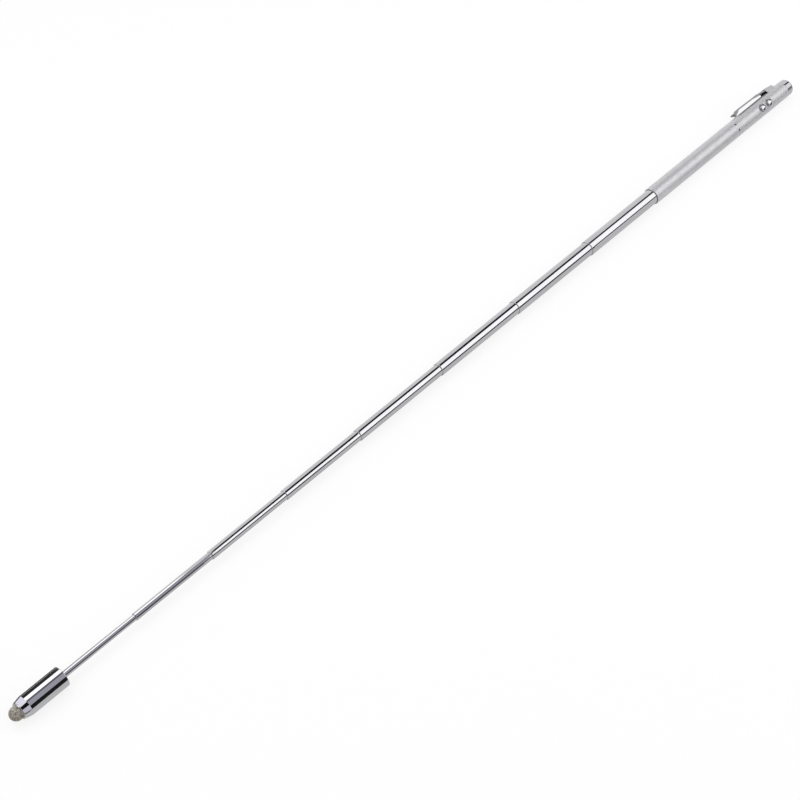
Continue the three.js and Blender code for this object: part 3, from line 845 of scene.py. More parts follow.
@dataclass
class LowerBarrel(SubAssembly):
    """The barrel that the telescope slides into, its coupler and the ring at the joint."""

    outer: float = PEN_RADIUS
    bore: float = 4.5
    mouth_bore: float = 4.41
    lip_length: float = 0.8
    recess: float = 0.24
    recess_depth: float = 0.5
    chamfer: float = 0.24
    chamfer_length: float = 0.55
    end_edge: float = 0.08
    recess_edge: float = 0.02
    mouth_edge: float = 0.03
    chamfer_edge: float = 0.12
    ring_bore: float = 4.4
    ring_edge: float = 0.14
    spigot: float = 4.3
    thread_root: float = 4.02
    thread_pitch: float = 0.75
    thread_turns: int = 6
    thread_half: float = 0.42
    thread_sink: float = 0.1
    thread_start: float = 1.25
    thread_edge: float = 0.2
    collar_length: float = 1.2
    collar_play: float = 0.02
    collar_edge: float = 0.03
    pocket: float = 3.2
    screw_hole: float = 1.4
    plug: float = 4.48
    plug_edge: float = 0.15
    plug_sink: float = 0.05
    floor: float = 5.0

    def barrel(self) -> bmesh.types.BMesh:
        """Turns the barrel, with its chamfered mouth and the recess round the widest tube.

        Returns:
            The barrel's mesh.
        """
        start, end = self.axis.span("lower_barrel")
        return turn([
            Corner(end, self.outer, self.end_edge),
            Corner(end, self.bore, BROKEN_EDGE),
            Corner(start + self.lip_length, self.bore),
            Corner(start + self.lip_length, self.mouth_bore),
            Corner(start + self.recess_depth, self.mouth_bore),
            Corner(start + self.recess_depth, self.mouth_bore + self.recess),
            Corner(start, self.mouth_bore + self.recess, self.recess_edge),
            Corner(start, self.outer - self.chamfer, self.mouth_edge),
            Corner(start + self.chamfer_length, self.outer, self.chamfer_edge),
        ])

    def thread(self, start: float, end: float) -> bmesh.types.BMesh:
        """Winds the screw thread round the coupler's spigot.

        Args:
            start: Station where the thread begins.
            end: Station where the spigot ends.

        Returns:
            The thread's ridge as a closed mesh.
        """
        mesh = bmesh.new()
        half = self.thread_pitch * self.thread_half
        foot = self.thread_root - self.thread_sink
        ridge = [(start, foot), (start + half, self.spigot), (start + 2 * half, foot)]
        verts = [mesh.verts.new((x, 0.0, radius)) for x, radius in ridge]
        face = mesh.faces.new(verts)
        turns = min(self.thread_turns, int((end - start) / self.thread_pitch) - 1)
        steps = SMALL_FACETS * turns
        bmesh.ops.spin(mesh, geom=[face, *face.edges, *face.verts], axis=(1.0, 0.0, 0.0),
                       dvec=(self.thread_pitch / SMALL_FACETS, 0.0, 0.0), angle=math.tau * turns,
                       steps=steps)
        bmesh.ops.recalc_face_normals(mesh, faces=mesh.faces)
        return mesh

    def build(self) -> None:
        """Builds the barrel, the coupler with its thread, and the joint ring."""
        self.piece("lower_barrel_shell", self.barrel(), Finish.SATIN, "satin_silver",
                   "lower_barrel", ["lower_barrel"])
        barrel_end = self.axis.span("lower_barrel")[1]
        start, end = self.axis.span("coupler")
        collar = self.spigot - self.collar_play
        collar_start = barrel_end - self.plug_sink
        collar_end = barrel_end + self.collar_length
        core = turn([
            Corner(start, self.screw_hole),
            Corner(start, self.plug, self.plug_edge),
            Corner(collar_start, self.plug, BROKEN_EDGE),
            Corner(collar_start, collar, self.collar_edge),
            Corner(collar_end, collar, BROKEN_EDGE),
            Corner(collar_end, self.thread_root, self.collar_edge),
            Corner(end, self.thread_root, self.thread_edge),
            Corner(end, self.pocket, self.end_edge),
            Corner(end - self.floor, self.pocket),
            Corner(end - self.floor, self.screw_hole),
        ])
        coupler = merged(core, self.thread(barrel_end + self.thread_start, end))
        self.piece("threaded_coupler", coupler, Finish.BRASS, "brass", "lower_barrel", ["coupler"])
        start, end = self.axis.span("joint_ring")
        ring = tube(start, end, self.ring_bore, self.outer, self.ring_edge)
        self.piece("joint_ring_trim", ring, Finish.CHROME, "chrome_plate", "joint_ring",
                   ["joint_ring"])


@dataclass
class UpperBarrel(SubAssembly):
    """The barrel with the button holes, and the rounded end cap with its two openings."""

    outer: float = PEN_RADIUS
    bore: float = 4.4
    joint_edge: float = 0.08
    end_edge: float = 0.06
    row_length: float = 2.0
    hole_radius: float = 2.2
    hole_edge: float = 0.12
    cap_length: float = 5.5
    cap_rounding: float = 1.5
    cap_arc: tuple[tuple[float, float], ...] = ((0.62, 0.07), (0.29, 0.29), (0.07, 0.62))
    cap_plate: float = 1.4
    cap_bore: float = 3.95
    cap_spigot: float = 4.3
    cap_spigot_edge: float = 0.1
    laser_opening: float = 1.0
    lamp_opening: float = 1.6
    lamp_offset: float = 2.1
    opening_edge: float = 0.2
    overshoot: float = 1.0

    def hole_tool(self, station: float) -> bmesh.types.BMesh:
        """Turns the tool for one button's hole, which also breaks the hole's edge.

        Args:
            station: The button's station.

        Returns:
            The tool's mesh, turned to the buttons' side of the pen.
        """
        flare = self.hole_radius + self.hole_edge
        tool = turn([
            Corner(0.0, 0.0),
            Corner(0.0, self.hole_radius),
            Corner(self.outer - self.hole_edge, self.hole_radius),
            Corner(self.outer + self.overshoot, flare + self.overshoot),
            Corner(self.outer + self.overshoot, 0.0),
        ], SMALL_FACETS, closed=False)
        return tilted(upright(tool, station), BUTTON_TILT)

    def barrel(self) -> bmesh.types.BMesh:
        """Turns the barrel in rows of short faces and cuts the button holes into it.

        Returns:
            The barrel's mesh.
        """
        start, end = self.axis.span("upper_barrel")
        rows = int((end - start) / self.row_length)
        blank = turn([
            Corner(start, self.bore, BROKEN_EDGE),
            Corner(start, self.outer, self.joint_edge),
            *[Corner(start + (end - start) * i / rows, self.outer) for i in range(1, rows)],
            Corner(end, self.outer, self.end_edge),
            Corner(end, self.bore, BROKEN_EDGE),
        ])
        centres = [sum(self.axis.span(name)) / 2 for name in CONTROLS]
        return carved(blank, *[self.hole_tool(centre) for centre in centres])

    def cap(self) -> bmesh.types.BMesh:
        """Turns the end cap and opens it for the laser and the lamp.

        Returns:
            The cap's mesh.
        """
        start, end = self.axis.span("end_cap")
        shoulder = end - self.cap_length
        plate = end - self.cap_plate
        blank = turn([
            Corner(start, self.cap_bore, BROKEN_EDGE),
            Corner(start, self.cap_spigot, self.cap_spigot_edge),
            Corner(shoulder, self.cap_spigot),
            Corner(shoulder, self.outer, BROKEN_EDGE),
            Corner(end - self.cap_rounding, self.outer),
            *[Corner(end - self.cap_rounding * back, self.outer - self.cap_rounding * down)
              for back, down in self.cap_arc],
            Corner(end, self.outer - self.cap_rounding),
            Corner(end, 0.0),
            Corner(plate, 0.0),
            Corner(plate, self.cap_bore),
        ])
        return carved(blank, self.opening_tool(plate, end, self.laser_opening, LASER_OFFSET),
                      self.opening_tool(plate, end, self.lamp_opening, self.lamp_offset))

    def opening_tool(
        self, start: float, end: float, radius: float, offset: float
    ) -> bmesh.types.BMesh:
        """Turns the tool for one opening of the cap, countersunk outside.

        Args:
            start: Station of the plate's inner face.
            end: Station of its outer face.
            radius: The opening's radius.
            offset: How far it lies from the axis, on the buttons' side.

        Returns:
            The tool's mesh, in its place on the pen.
        """
        tool = turn([
            Corner(start - self.overshoot, 0.0),
            Corner(start - self.overshoot, radius),
            Corner(end - self.opening_edge, radius),
            Corner(end + self.overshoot, radius + self.opening_edge + self.overshoot),
            Corner(end + self.overshoot, 0.0),
        ], SMALL_FACETS, closed=False)
        return tilted(beside(tool, offset), BUTTON_TILT)

    def build(self) -> None:
        """Builds the barrel and the cap."""
        self.piece("upper_barrel_shell", self.barrel(), Finish.SATIN, "satin_silver",
                   "upper_barrel", ["upper_barrel"])
        self.piece("end_cap_shell", self.cap(), Finish.CHROME, "chrome_plate",
                   "upper_barrel", ["end_cap"])


@dataclass
class PushButtons(SubAssembly):
    """The two domed buttons, each on the flange that keeps it in the barrel."""

    radius: float = 2.04
    top: float = 7.14
    dome: float = 0.78
    tip_radius: float = 0.6
    tip_steps: int = 8
    shoulder_edge: float = 0.12
    flange_radius: float = 2.48
    flange_top: float = 3.495
    flange_thickness: float = 0.4

    def button(self, station: float) -> bmesh.types.BMesh:
        """Turns one button, whose top is a low cone with a rounded tip.

        Args:
            station: The button's station.

        Returns:
            The button's mesh in the buttons' group.
        """
        slope = math.atan2(self.dome, self.radius - self.tip_radius / 2)
        sphere = self.tip_radius / math.sin(slope)
        turns = [slope * i / self.tip_steps for i in range(self.tip_steps, 0, -1)]
        tip = [Corner(self.top - sphere * (1 - math.cos(angle)), sphere * math.sin(angle))
               for angle in turns]
        foot = self.flange_top - self.flange_thickness
        return upright(turn([
            Corner(foot, 0.0),
            Corner(foot, self.flange_radius, BROKEN_EDGE),
            Corner(self.flange_top, self.flange_radius, BROKEN_EDGE),
            Corner(self.flange_top, self.radius),
            Corner(self.top - self.dome, self.radius, self.shoulder_edge),
            *tip,
            Corner(self.top, 0.0),
        ], SMALL_FACETS, closed=False), station)

    def build(self) -> None:
        """Builds both buttons."""
        for name in CONTROLS:
            station = sum(self.axis.span(name)) / 2
            self.piece(f"{name}_dome", self.button(station), Finish.CHROME, "chrome_plate",
                       name, [name], BUTTON_TILT)


class Fold(NamedTuple):
    """A point of the clip strip's middle line, with the strip's width and the fold's radius there."""

    station: float
    height: float
    width: float
    rounding: float = 0.0

    @property
    def place(self) -> Vector:
        """The point's station and height."""
        return Vector((self.station, self.height))


@dataclass
class PocketClip(SubAssembly):
    """The sprung strip with its folded nose, and the channel-shaped bracket that holds it."""

    width: float = 5.0
    thickness: float = 0.8
    barrel: float = 5.0
    bracket_width: float = 4.4
    splay: float = 0.3
    front_height: float = 2.45
    rear_height: float = 1.6
    plate: float = 0.7
    flange: float = 0.6
    solid_rear: float = 4.2
    seam: float = 0.15
    strip_length: float = 25.5
    bend_length: float = 7.5
    middle_height: float = 2.25
    nose_height: float = 2.55
    nose_drop: float = 3.2
    nose_width: float = 1.0
    nose_gap: float = 0.06
    nose_fold: float = 0.3
    bend_fold: float = 1.1
    back_bend: float = 9.0
    fold_steps: int = 6
    corner_angle: float = 60.0
    nose_lift: float = 2.1
    nose_lift_height: float = 2.0
    nose_lift_width: float = 3.0
    tongue_length: float = 2.6
    tongue_gap: float = 0.3
    loose_fit: float = 0.1
    edge_rounding: float = 0.14
    bracket_rounding: float = 0.45
    seat_play: float = 0.02
    mouth_edge: float = 0.02
    overshoot: float = 1.0

    @property
    def tongue_height(self) -> float:
        """Height of the tongue's middle above the pen's axis."""
        return self.barrel + self.front_height - self.plate - self.loose_fit - self.thickness / 2

    @property
    def channel_width(self) -> float:
        """Width of the bracket's channel."""
        return self.bracket_width - 2 * self.flange

    def strip_line(self, root: float) -> list[Fold]:
        """Lays out the strip's middle line, from its free end to the bracket.

        Args:
            root: Station of the bracket's front.

        Returns:
            The points, whose heights are above the pen's axis.
        """
        end = root - self.seam
        bend = end - self.strip_length
        contact = bend - self.nose_drop
        return [
            Fold(contact - self.nose_lift, self.barrel + self.nose_lift_height,
                 self.nose_lift_width),
            Fold(contact, self.barrel + self.nose_gap + self.thickness / 2, self.nose_width,
                 self.nose_fold),
            Fold(bend, self.barrel + self.nose_height, self.width, self.bend_fold),
            Fold(end - self.bend_length, self.barrel + self.middle_height, self.width,
                 self.back_bend),
            Fold(end, self.tongue_height, self.width),
        ]

    def rounded_line(self, line: Sequence[Fold]) -> list[tuple[Vector, float]]:
        """Rounds the folds of the strip's line.

        Args:
            line: The line's points.

        Returns:
            The points of the rounded line, each with the strip's width there.
        """
        points = []
        for index, fold in enumerate(line):
            corner = fold.place
            if fold.rounding == 0.0:
                points.append((corner, fold.width))
                continue
            before, after = line[index - 1], line[index + 1]
            back = before.place - corner
            ahead = after.place - corner
            turned = math.pi - back.angle(ahead)
            reach = fold.rounding * math.tan(turned / 2)
            first = corner + back.normalized() * reach
            last = corner + ahead.normalized() * reach
            first_width = fold.width + (before.width - fold.width) * reach / back.length
            last_width = fold.width + (after.width - fold.width) * reach / ahead.length
            for step in range(self.fold_steps + 1):
                share = step / self.fold_steps
                points.append((self.curved(first, corner, last, share),
                               self.curved(first_width, fold.width, last_width, share)))
        return points

    @staticmethod
    def curved(
        first: Vector | float, pull: Vector | float, last: Vector | float, share: float
    ) -> Vector | float:
        """Gives what lies at a share of the way on the curve between two ends that a third pulls."""
        return first * (1 - share) ** 2 + pull * 2 * share * (1 - share) + last * share ** 2

    def drawn_strip(self, line: Sequence[tuple[Vector, float]]) -> bmesh.types.BMesh:
        """Extrudes a strip of even thickness along a line, with its width following the line.

        Args:
            line: Points of the strip's middle, each with the width there.

        Returns:
            The closed strip.
        """
        mesh = bmesh.new()
        face = None
        for place, (point, width) in enumerate(line):
            before = (point - line[place - 1][0]).normalized() if place > 0 else None
            after = ((line[place + 1][0] - point).normalized()
                     if place < len(line) - 1 else None)
            along = ((before or after) + (after or before)).normalized()
            stretch = before.dot(along) if before else 1.0
            side = Vector((-along.y, along.x)) * (self.thickness / 2 / stretch)
            rim = [(point + side * up, across * width / 2)
                   for up, across in ((-1, -1), (-1, 1), (1, 1), (1, -1))]
            if face is None:
                face = mesh.faces.new([mesh.verts.new((at.x, y, at.y)) for at, y in rim])
                continue
            swept = bmesh.ops.extrude_face_region(mesh, geom=[face])
            face = next(item for item in swept["geom"] if isinstance(item, bmesh.types.BMFace))
            for loop, (at, y) in zip(face.loops, rim):
                loop.vert.co = (at.x, y, at.y)
        bmesh.ops.recalc_face_normals(mesh, faces=mesh.faces)
        return mesh

    def profile_block(
        self, outline: Sequence[tuple[float, float]], width: float
    ) -> bmesh.types.BMesh:
        """Extrudes an outline of station and height across the pen.

        Args:
            outline: The outline's points, in order.
            width: The block's width.

        Returns:
            The closed block.
        """
        mesh = bmesh.new()
        verts = [mesh.verts.new((x, -width / 2, z)) for x, z in outline]
        face = mesh.faces.new(verts)
        extrude(mesh, face, (0.0, width, 0.0))
        bmesh.ops.recalc_face_normals(mesh, faces=mesh.faces)
        return mesh

    def strip(self, root: float) -> bmesh.types.BMesh:
        """Shapes the strip with its folded nose, and the tongue that enters the bracket.

        Args:
            root: Station of the bracket's front.

        Returns:
            The mesh of the strip and its tongue.
        """
        mesh = self.drawn_strip(self.rounded_line(self.strip_line(root)))
        sharp = math.radians(self.corner_angle)
        soften(mesh, [edge for edge in mesh.edges if edge.calc_face_angle(0.0) > sharp],
               self.edge_rounding)
        start = root - self.seam - self.thickness
        end = root + self.tongue_length
        half = self.thickness / 2
        tongue = self.profile_block([
            (start, self.tongue_height - half), (end, self.tongue_height - half),
            (end, self.tongue_height + half), (start, self.tongue_height + half),
        ], self.channel_width - 2 * self.tongue_gap)
        return merged(mesh, tongue)

    def bracket_block(self, root: float, rear: float) -> bmesh.types.BMesh:
        """Shapes the bracket's solid outside, which leans in towards its top and is lower at the back.

        Args:
            root: Station of its front.
            rear: Station of its back.

        Returns:
            The closed block, with its top and back edges rounded.
        """
        front_top = self.barrel + self.front_height
        top_half = self.bracket_width / 2
        foot_half = top_half + self.splay * front_top
        section = [(-foot_half, 0.0), (foot_half, 0.0), (top_half, front_top), (-top_half, front_top)]
        block = bmesh.new()
        face = block.faces.new([block.verts.new((root, y, z)) for y, z in section])
        for vert in extrude(block, face, (rear - root, 0.0, 0.0)):
            if vert.co.z > self.barrel:
                vert.co.z = self.barrel + self.rear_height
        bmesh.ops.recalc_face_normals(block, faces=block.faces)
        top = [edge for edge in block.edges if all(v.co.z > self.barrel for v in edge.verts)]
        back = [edge for edge in block.edges
                if all(v.co.x > rear - MERGE_DISTANCE for v in edge.verts)
                and abs(edge.verts[0].co.z - edge.verts[1].co.z) > self.barrel]
        soften(block, [*top, *back], self.bracket_rounding)
        return block

    def bracket(self, root: float, rear: float) -> bmesh.types.BMesh:
        """Shapes the bracket: its block, less a channel from the front and a seat on the barrel.

        Args:
            root: Station of its front.
            rear: Station of its back.

        Returns:
            The bracket's mesh, whose channel takes the second material, a near-black painted shade.
        """
        block = self.bracket_block(root, rear)
        front = root - self.overshoot
        channel_end = rear - self.solid_rear
        ceiling = self.barrel + self.front_height - self.plate
        hollow = self.profile_block(
            [(front, 0.0), (channel_end, 0.0), (channel_end, ceiling), (front, ceiling)],
            self.channel_width)
        corners = [edge for edge in hollow.edges
                   if all(v.co.z > self.barrel for v in edge.verts)
                   and abs(edge.verts[0].co.x - edge.verts[1].co.x) > channel_end - root]
        soften(hollow, corners, self.bracket_rounding)
        seat = rod(front, rear + self.overshoot, self.barrel + self.seat_play, 0.0, ROUND_FACETS)
        mesh = carved(block, hollow, seat)
        # Faces inside the channel take the second material: near-black painted shade for the dark
        # mouth
        for face in mesh.faces:
            centre = face.calc_center_median()
            between = abs(centre.y) < self.channel_width / 2 + self.mouth_edge
            below = self.barrel < centre.z < ceiling + self.mouth_edge
            ahead = centre.x < channel_end + self.mouth_edge
            face.material_index = int(between and below and ahead)
        return mesh

    def build(self) -> None:
        """Builds the strip and the bracket."""
        root, rear = self.axis.span("clip_bracket")
        self.piece("clip_strip", self.strip(root), Finish.CLIP_STEEL, "clip_steel", "pocket_clip",
                   ["pocket_clip"], CLIP_TILT)
        bracket = self.piece("clip_root", self.bracket(root, rear), Finish.SATIN, "satin_silver",
                             "upper_barrel", ["clip_bracket"], CLIP_TILT)
        # The channel's near-black steel is painted shade for the dark mouth under the clip
        bracket.data.materials.append(Finish.PAINTED_SHADE_BLACK.material())


@dataclass
class LaserModule(SubAssembly):
    """The smooth pieces that show through the cap: window, laser tube and lens."""

    window_radius: float = 3.85
    window_edge: float = 0.1
    tube_radius: float = 1.8
    tube_bore: float = 1.4
    tube_edge: float = 0.08
    lens_radius: float = 1.38
    lens_edge: float = 0.03
    lens_steps: int = 12

    def lens(self, start: float, end: float) -> bmesh.types.BMesh:
        """Turns the lens: a short bar whose front half is a dome.

        Args:
            start: Station of its flat back.
            end: Station of the dome's top.

        Returns:
            The lens's mesh.
        """
        shoulder = (start + end) / 2
        turns = [math.pi / 2 * i / self.lens_steps for i in range(1, self.lens_steps)]
        dome = [Corner(shoulder + (end - shoulder) * math.sin(angle),
                       self.lens_radius * math.cos(angle)) for angle in turns]
        return turn([Corner(start, 0.0), Corner(start, self.lens_radius, self.lens_edge),
                     Corner(shoulder, self.lens_radius), *dome, Corner(end, 0.0)],
                    SMALL_FACETS, closed=False)

    def build(self) -> None:
        """Builds the three pieces."""
        window = rod(*self.axis.span("window"), self.window_radius, self.window_edge, ROUND_FACETS)
        self.piece("front_window", window, Finish.CLEAR_PLASTIC, "clear_plastic", "upper_barrel",
                   ["window"], BUTTON_TILT)
        housing = tube(*self.axis.span("laser_housing"), self.tube_bore, self.tube_radius,
                       self.tube_edge, SMALL_FACETS)
        self.piece("laser_tube", beside(housing, LASER_OFFSET), Finish.BRASS, "brass",
                   "upper_barrel", ["laser_housing"], BUTTON_TILT)
        lens = self.lens(*self.axis.span("laser_lens"))
        self.piece("collimator_lens", beside(lens, LASER_OFFSET), Finish.CLEAR_PLASTIC,
                   "clear_plastic", "upper_barrel", ["laser_lens"], BUTTON_TILT)


@dataclass
class CarriedNodes(SubAssembly):
    """The nodes of the frame whose shape is right, which only get their finish."""

    finishes: dict[Finish, tuple[str, ...]] = field(default_factory=lambda: {
        Finish.BRASS: ("tip_collar", "head_plug", "laser_diode", "contact_plate", "clip_rivet"),
        Finish.RUBBER: ("tip_core",),
        Finish.WIRE_STEEL: ("battery_spring",),
        Finish.CELL: ("cell_1", "cell_2", "cell_3", "contact_screw"),
        Finish.BLACK_PLASTIC: ("optics_holder", "board_carrier", "lamp_switch", "laser_switch"),
        Finish.WHITE_PLASTIC: ("lamp_plunger", "laser_plunger", "battery_sleeve"),
        Finish.BOARD: ("circuit_board",),
        Finish.CLEAR_PLASTIC: ("lamp",),
        Finish.BRONZE: ("tip_rod_bush", *(f"tube_{number}_bush" for number in TUBES)),
    })

    def build(self) -> None:
        """Gives each carried node its finish."""
        for finish, names in self.finishes.items():
            for name in names:
                slots = bpy.data.objects[name].data.materials
                slots.clear()
                slots.append(finish.material())
                LOG.info("%s: carried over with %s", name, finish.value.name)


# The studio round the pen, in metres

@dataclass(frozen=True)
class Panel:
    """A long curved panel beside the pen, between two directions and two places along X.

    Directions are in degrees from the pen's axis, from +Y towards +Z, and white has a level of 1.
    """

    name: str
    from_angle: float
    to_angle: float
    from_x: float
    to_x: float
    level: float
    distance: float = 0.7
    tint: str = WHITE


@dataclass(frozen=True)
class FloorCard:
    """A flat card along the pen, between two distances from its axis towards the camera's side."""

    name: str
    near: float
    far: float
    from_x: float
    to_x: float
    level: float
    lift: float = 0.0001


@dataclass(frozen=True)
class Lamp:
    """A soft rectangular lamp that faces the pen.

    Its angle is counted as a panel's directions are.
    """

    name: str
    angle: float
    centre_x: float
    length: float
    width: float
    radiance: float
    distance: float = 0.78


@dataclass
class Studio:
    """The pale floor, the white surroundings, the lamps and the panels that the chrome mirrors."""

    axis: PenAxis
    floor_half: float = 4.0
    floor_drop: float = 0.0002
    floor_cells: int = 8
    floor_tone: str = "#FAFAFA"
    fill: float = 0.8
    floor_share: float = 0.2
    panel_steps: int = 12
    lamps: tuple[Lamp, ...] = (
        Lamp("softbox", 125.0, 0.70, 1.20, 0.86, 0.76),
        Lamp("head_strip", 66.0, -0.28, 0.76, 0.46, 1.2),
    )
    panels: tuple[Panel, ...] = (
        Panel("left_dark", 20.0, 175.0, -3.0, -0.75, 0.08),
        Panel("line_above_thin", 66.0, 107.0, 0.10, 0.294, 0.02),
        Panel("line_above_middle", 60.0, 96.0, 0.294, 0.53, 0.02),
        Panel("line_above_wide", 66.0, 95.0, 0.53, 0.65, 0.02),
        Panel("line_above", 70.0, 92.0, 0.65, 0.9, 0.02),
        Panel("line_above_barrel", 77.0, 97.0, 0.9, 1.3, 0.02),
        Panel("soft_barrel", 97.0, 156.0, 0.9, 1.35, 1.25),
        Panel("line_low_rod", 144.0, 187.0, -0.257, -0.169, 0.1, 0.04),
        Panel("line_low_thin", 150.0, 174.0, -0.169, -0.0817, 0.03, 0.04),
        Panel("line_low_middle", 155.0, 174.0, -0.0817, 0.132, 0.02, 0.04),
        Panel("line_low", 153.0, 168.0, 0.132, 0.2, 0.05, 0.04),
        Panel("line_low_barrel", 159.0, 181.0, 0.2, 0.325, 0.05, 0.04),
        Panel("line_low_cap", 152.0, 183.0, 0.325, 0.36, 0.28, 0.04),
        Panel("head_dark_rear", 0.0, 46.0, -0.16, -0.070, 0.04),
        Panel("head_line", 86.0, 103.0, -0.16, 0.10, 0.2, tint="#EEEDFF"),
        Panel("head_grey", 103.0, 150.0, -0.16, 0.10, 0.6, tint="#F3F2FF"),
        Panel("head_dark_front", 147.0, 186.5, -0.284, -0.2575, 0.02, 0.035),
        Panel("nose_light", 0.0, 97.0, -0.75, -0.16, 1.45, tint="#F6F3FF"),
        Panel("nose_dark", 96.0, 136.0, -0.75, -0.16, 0.01),
        Panel("nose_grey", 136.0, 179.0, -0.75, -0.16, 0.95, tint="#F4F1FF"),
        Panel("right_grey", 40.0, 179.0, 1.6, 4.0, 0.25),
    )
    cards: tuple[FloorCard, ...] = (
        FloorCard("near_grey", 0.006, 0.6, -0.32, 0.35, 0.8),
        FloorCard("near_shade", -0.003, 0.006, -0.2895, 0.35, 0.64),
        FloorCard("near_line_nose", 0.02, 0.045, -0.31, -0.2895, 0.15, 0.0002),
        FloorCard("far_dark_head", -0.12, -0.003, -0.2895, -0.23, 0.14, 0.0002),
        FloorCard("near_dark_ball", 0.003, 0.1, -0.4, -0.2945, 0.08, 0.0003),
        FloorCard("far_dark_ball", -0.1, -0.003, -0.4, -0.2945, 0.08, 0.0003),
    )

    def background_light(self, tree: bpy.types.NodeTree) -> bpy.types.NodeSocket:
        """Tells the rays that show the background: to the camera, in gloss and through glass.

        Args:
            tree: The tree that asks.

        Returns:
            A socket that is 1 for these rays and 0 for all others.
        """
        path = add_node(tree, "ShaderNodeLightPath")
        either = add_node(tree, "ShaderNodeMath", {"operation": "MAXIMUM"}, {
            0: path.outputs["Is Camera Ray"],
            1: path.outputs["Is Glossy Ray"],
        })
        return add_node(tree, "ShaderNodeMath", {"operation": "MAXIMUM"}, {
            0: either.outputs["Value"],
            1: path.outputs["Is Transmission Ray"],
        }).outputs["Value"]

    def glow(self, tree: bpy.types.NodeTree, tint: str, level: float) -> bpy.types.NodeSocket:
        """Gives a shader that glows in one colour, where a level of 1 is as bright as white."""
        return add_node(tree, "ShaderNodeEmission", {}, {
            "Color": linear_colour(tint),
            "Strength": level,
        }).outputs["Emission"]

    def world(self) -> None:
        """Makes the surroundings: white where they show, and a soft fill for all other light."""
        world = bpy.data.worlds.new("studio")
        bpy.context.scene.world = world
        tree = fresh_tree(world)
        strength = add_node(tree, "ShaderNodeMapRange", {}, {
            "Value": self.background_light(tree),
            "To Min": self.fill,
            "To Max": 1.0,
        })
        shade = add_node(tree, "ShaderNodeBackground", {}, {
            "Color": linear_colour(WHITE),
            "Strength": strength.outputs["Result"],
        })
        add_node(tree, "ShaderNodeOutputWorld", {}, {"Surface": shade.outputs["Background"]})

    def floor(self) -> None:
        """Lays the floor: white in the picture, with the pen's soft shadow left on it."""
        mesh = bmesh.new()
        bmesh.ops.create_grid(mesh, x_segments=self.floor_cells, y_segments=self.floor_cells,
                              size=self.floor_half)
        bmesh.ops.translate(mesh, verts=mesh.verts, vec=(0.0, 0.0, -self.floor_drop))
        laid = mesh_object("floor", mesh)
        paint = bpy.data.materials.new("white_sweep")
        tree = fresh_tree(paint)
        matt = add_node(tree, "ShaderNodeBsdfDiffuse", {}, {
            "Color": linear_colour(self.floor_tone),
        })
        share = add_node(tree, "ShaderNodeMath", {"operation": "MULTIPLY"}, {
            0: self.background_light(tree),
            1: 1.0 - self.floor_share,
        })
        mix = add_node(tree, "ShaderNodeMixShader", {}, {
            0: share.outputs["Value"],
            1: matt.outputs["BSDF"],
            2: self.glow(tree, WHITE, 1.0),
        })
        add_node(tree, "ShaderNodeOutputMaterial", {}, {"Surface": mix.outputs["Shader"]})
        laid.data.materials.append(paint)

    def lamp(self, lamp: Lamp) -> None:
        """Hangs one lamp beside the pen, out of the camera's sight.

        Args:
            lamp: The lamp's place, size and brightness.
        """
        data = bpy.data.lights.new(lamp.name, "AREA")
        data.shape = "RECTANGLE"
        data.size = lamp.length
        data.size_y = lamp.width
        data.energy = lamp.radiance * math.pi * lamp.length * lamp.width
        hung = linked(lamp.name, data)
        angle = math.radians(lamp.angle)
        along = Vector((1.0, 0.0, 0.0))
        out = Vector((0.0, math.cos(angle), math.sin(angle)))
        centre = Vector((lamp.centre_x, self.axis.across, self.axis.height))
        frame = Matrix((along, out.cross(along), out)).transposed().to_4x4()
        hung.matrix_world = Matrix.Translation(centre + out * lamp.distance) @ frame
        hung.visible_camera = False

    def panel(self, panel: Panel) -> None:
        """Bends one panel round the pen, out of the camera's sight.

        Args:
            panel: The panel's place and tone.
        """
        mesh = bmesh.new()
        start = math.radians(panel.from_angle)
        radius = panel.distance
        ends = [
            mesh.verts.new((x, self.axis.across + radius * math.cos(start),
                            self.axis.height + radius * math.sin(start)))
            for x in (panel.from_x, panel.to_x)
        ]
        edge = mesh.edges.new(ends)
        bmesh.ops.spin(mesh, geom=[*ends, edge], cent=(0.0, self.axis.across, self.axis.height),
                       axis=(1.0, 0.0, 0.0), steps=self.panel_steps,
                       angle=math.radians(panel.to_angle - panel.from_angle))
        self.glowing(mesh_object(f"panel_{panel.name}", mesh), panel.level, panel.tint)

    def card(self, card: FloorCard) -> None:
        """Lays one card on the floor: a square of 1 m, brought to the card's size.

        Args:
            card: The card's place and tone.
        """
        mesh = bmesh.new()
        bmesh.ops.create_grid(mesh, x_segments=1, y_segments=1, size=0.5)
        size = Matrix.Diagonal((card.to_x - card.from_x, card.far - card.near, 1.0, 1.0))
        middle = Vector(((card.from_x + card.to_x) / 2,
                         self.axis.across - (card.near + card.far) / 2, card.lift))
        mesh.transform(Matrix.Translation(middle) @ size)
        self.glowing(mesh_object(f"card_{card.name}", mesh), card.level, WHITE)

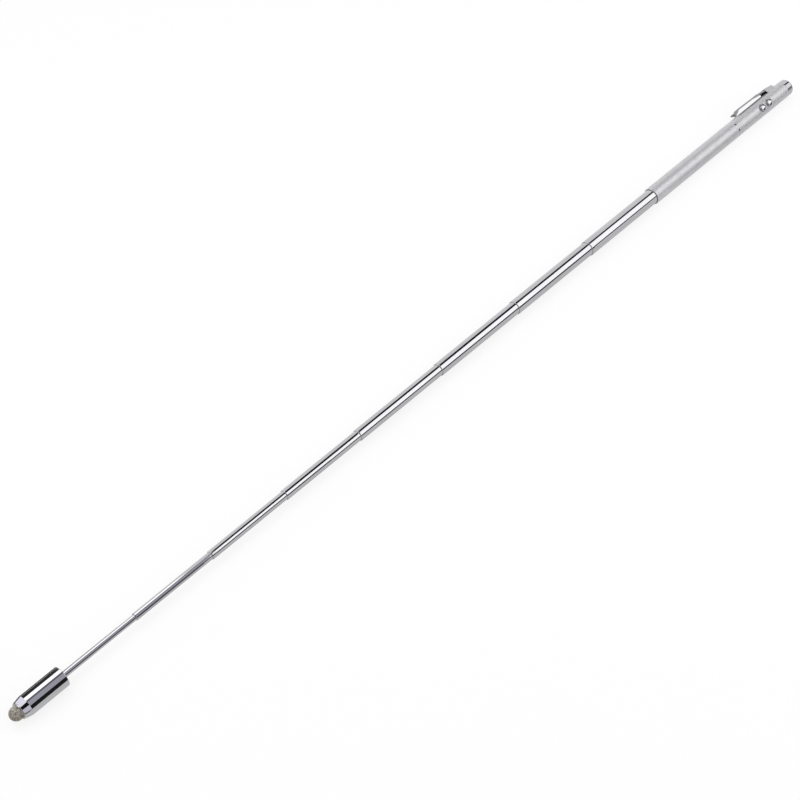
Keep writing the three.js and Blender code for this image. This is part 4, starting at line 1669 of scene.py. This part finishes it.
    def glowing(self, item: bpy.types.Object, level: float, tint: str) -> None:
        """Makes a panel or card glow evenly, seen only in the pen's gloss.

        Args:
            item: The panel's or card's object.
            level: How bright it is, where the white surroundings are 1.
            tint: Its colour.
        """
        paint = bpy.data.materials.new(item.name)
        tree = fresh_tree(paint)
        add_node(tree, "ShaderNodeOutputMaterial", {}, {"Surface": self.glow(tree, tint, level)})
        item.data.materials.append(paint)
        item.visible_camera = False
        item.visible_diffuse = False
        item.visible_shadow = False

    def build(self) -> None:
        """Sets up everything round the pen."""
        self.world()
        self.floor()
        for lamp in self.lamps:
            self.lamp(lamp)
        for panel in self.panels:
            self.panel(panel)
        for card in self.cards:
            self.card(card)
        bpy.context.scene.view_settings.view_transform = "Standard"
        LOG.info("studio: %d lamps, %d panels and %d cards",
                 len(self.lamps), len(self.panels), len(self.cards))


@dataclass(frozen=True)
class PhotoCamera:
    """The camera of the photograph: where it stands from the barrel's mouth, its view and lens."""

    axis: PenAxis
    from_mouth: tuple[float, float, float] = (-0.629395, -0.38143, 0.62148)
    looks: tuple[float, float, float] = (0.50000, 0.45350, -0.73785)
    lens: float = 76.19
    sensor: float = 36.0
    clip: tuple[float, float] = (0.01, 50.0)

    def build(self) -> None:
        """Makes the camera the scene's own."""
        data = bpy.data.cameras.new("photo_camera")
        data.lens = self.lens
        data.sensor_width = self.sensor
        data.clip_start, data.clip_end = self.clip
        stood = linked("photo_camera", data)
        stood.location = self.axis.origin + Vector(self.from_mouth)
        stood.rotation_mode = "QUATERNION"
        stood.rotation_quaternion = Vector(self.looks).to_track_quat("-Z", "Y")
        bpy.context.scene.camera = stood


def main() -> None:
    """Loads the frame, builds and dresses the pen, and sets up the studio."""
    logging.basicConfig(level=logging.INFO, format="%(name)s: %(message)s")
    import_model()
    axis = PenAxis.from_frame()
    PhotoCamera(axis).build()
    for kind in (StylusHead, Telescope, LowerBarrel, UpperBarrel, PushButtons, PocketClip,
                 LaserModule, CarriedNodes):
        LOG.info("building %s", kind.__name__)
        kind(axis).build()
    Studio(axis).build()


if __name__ == "__main__":
    main()
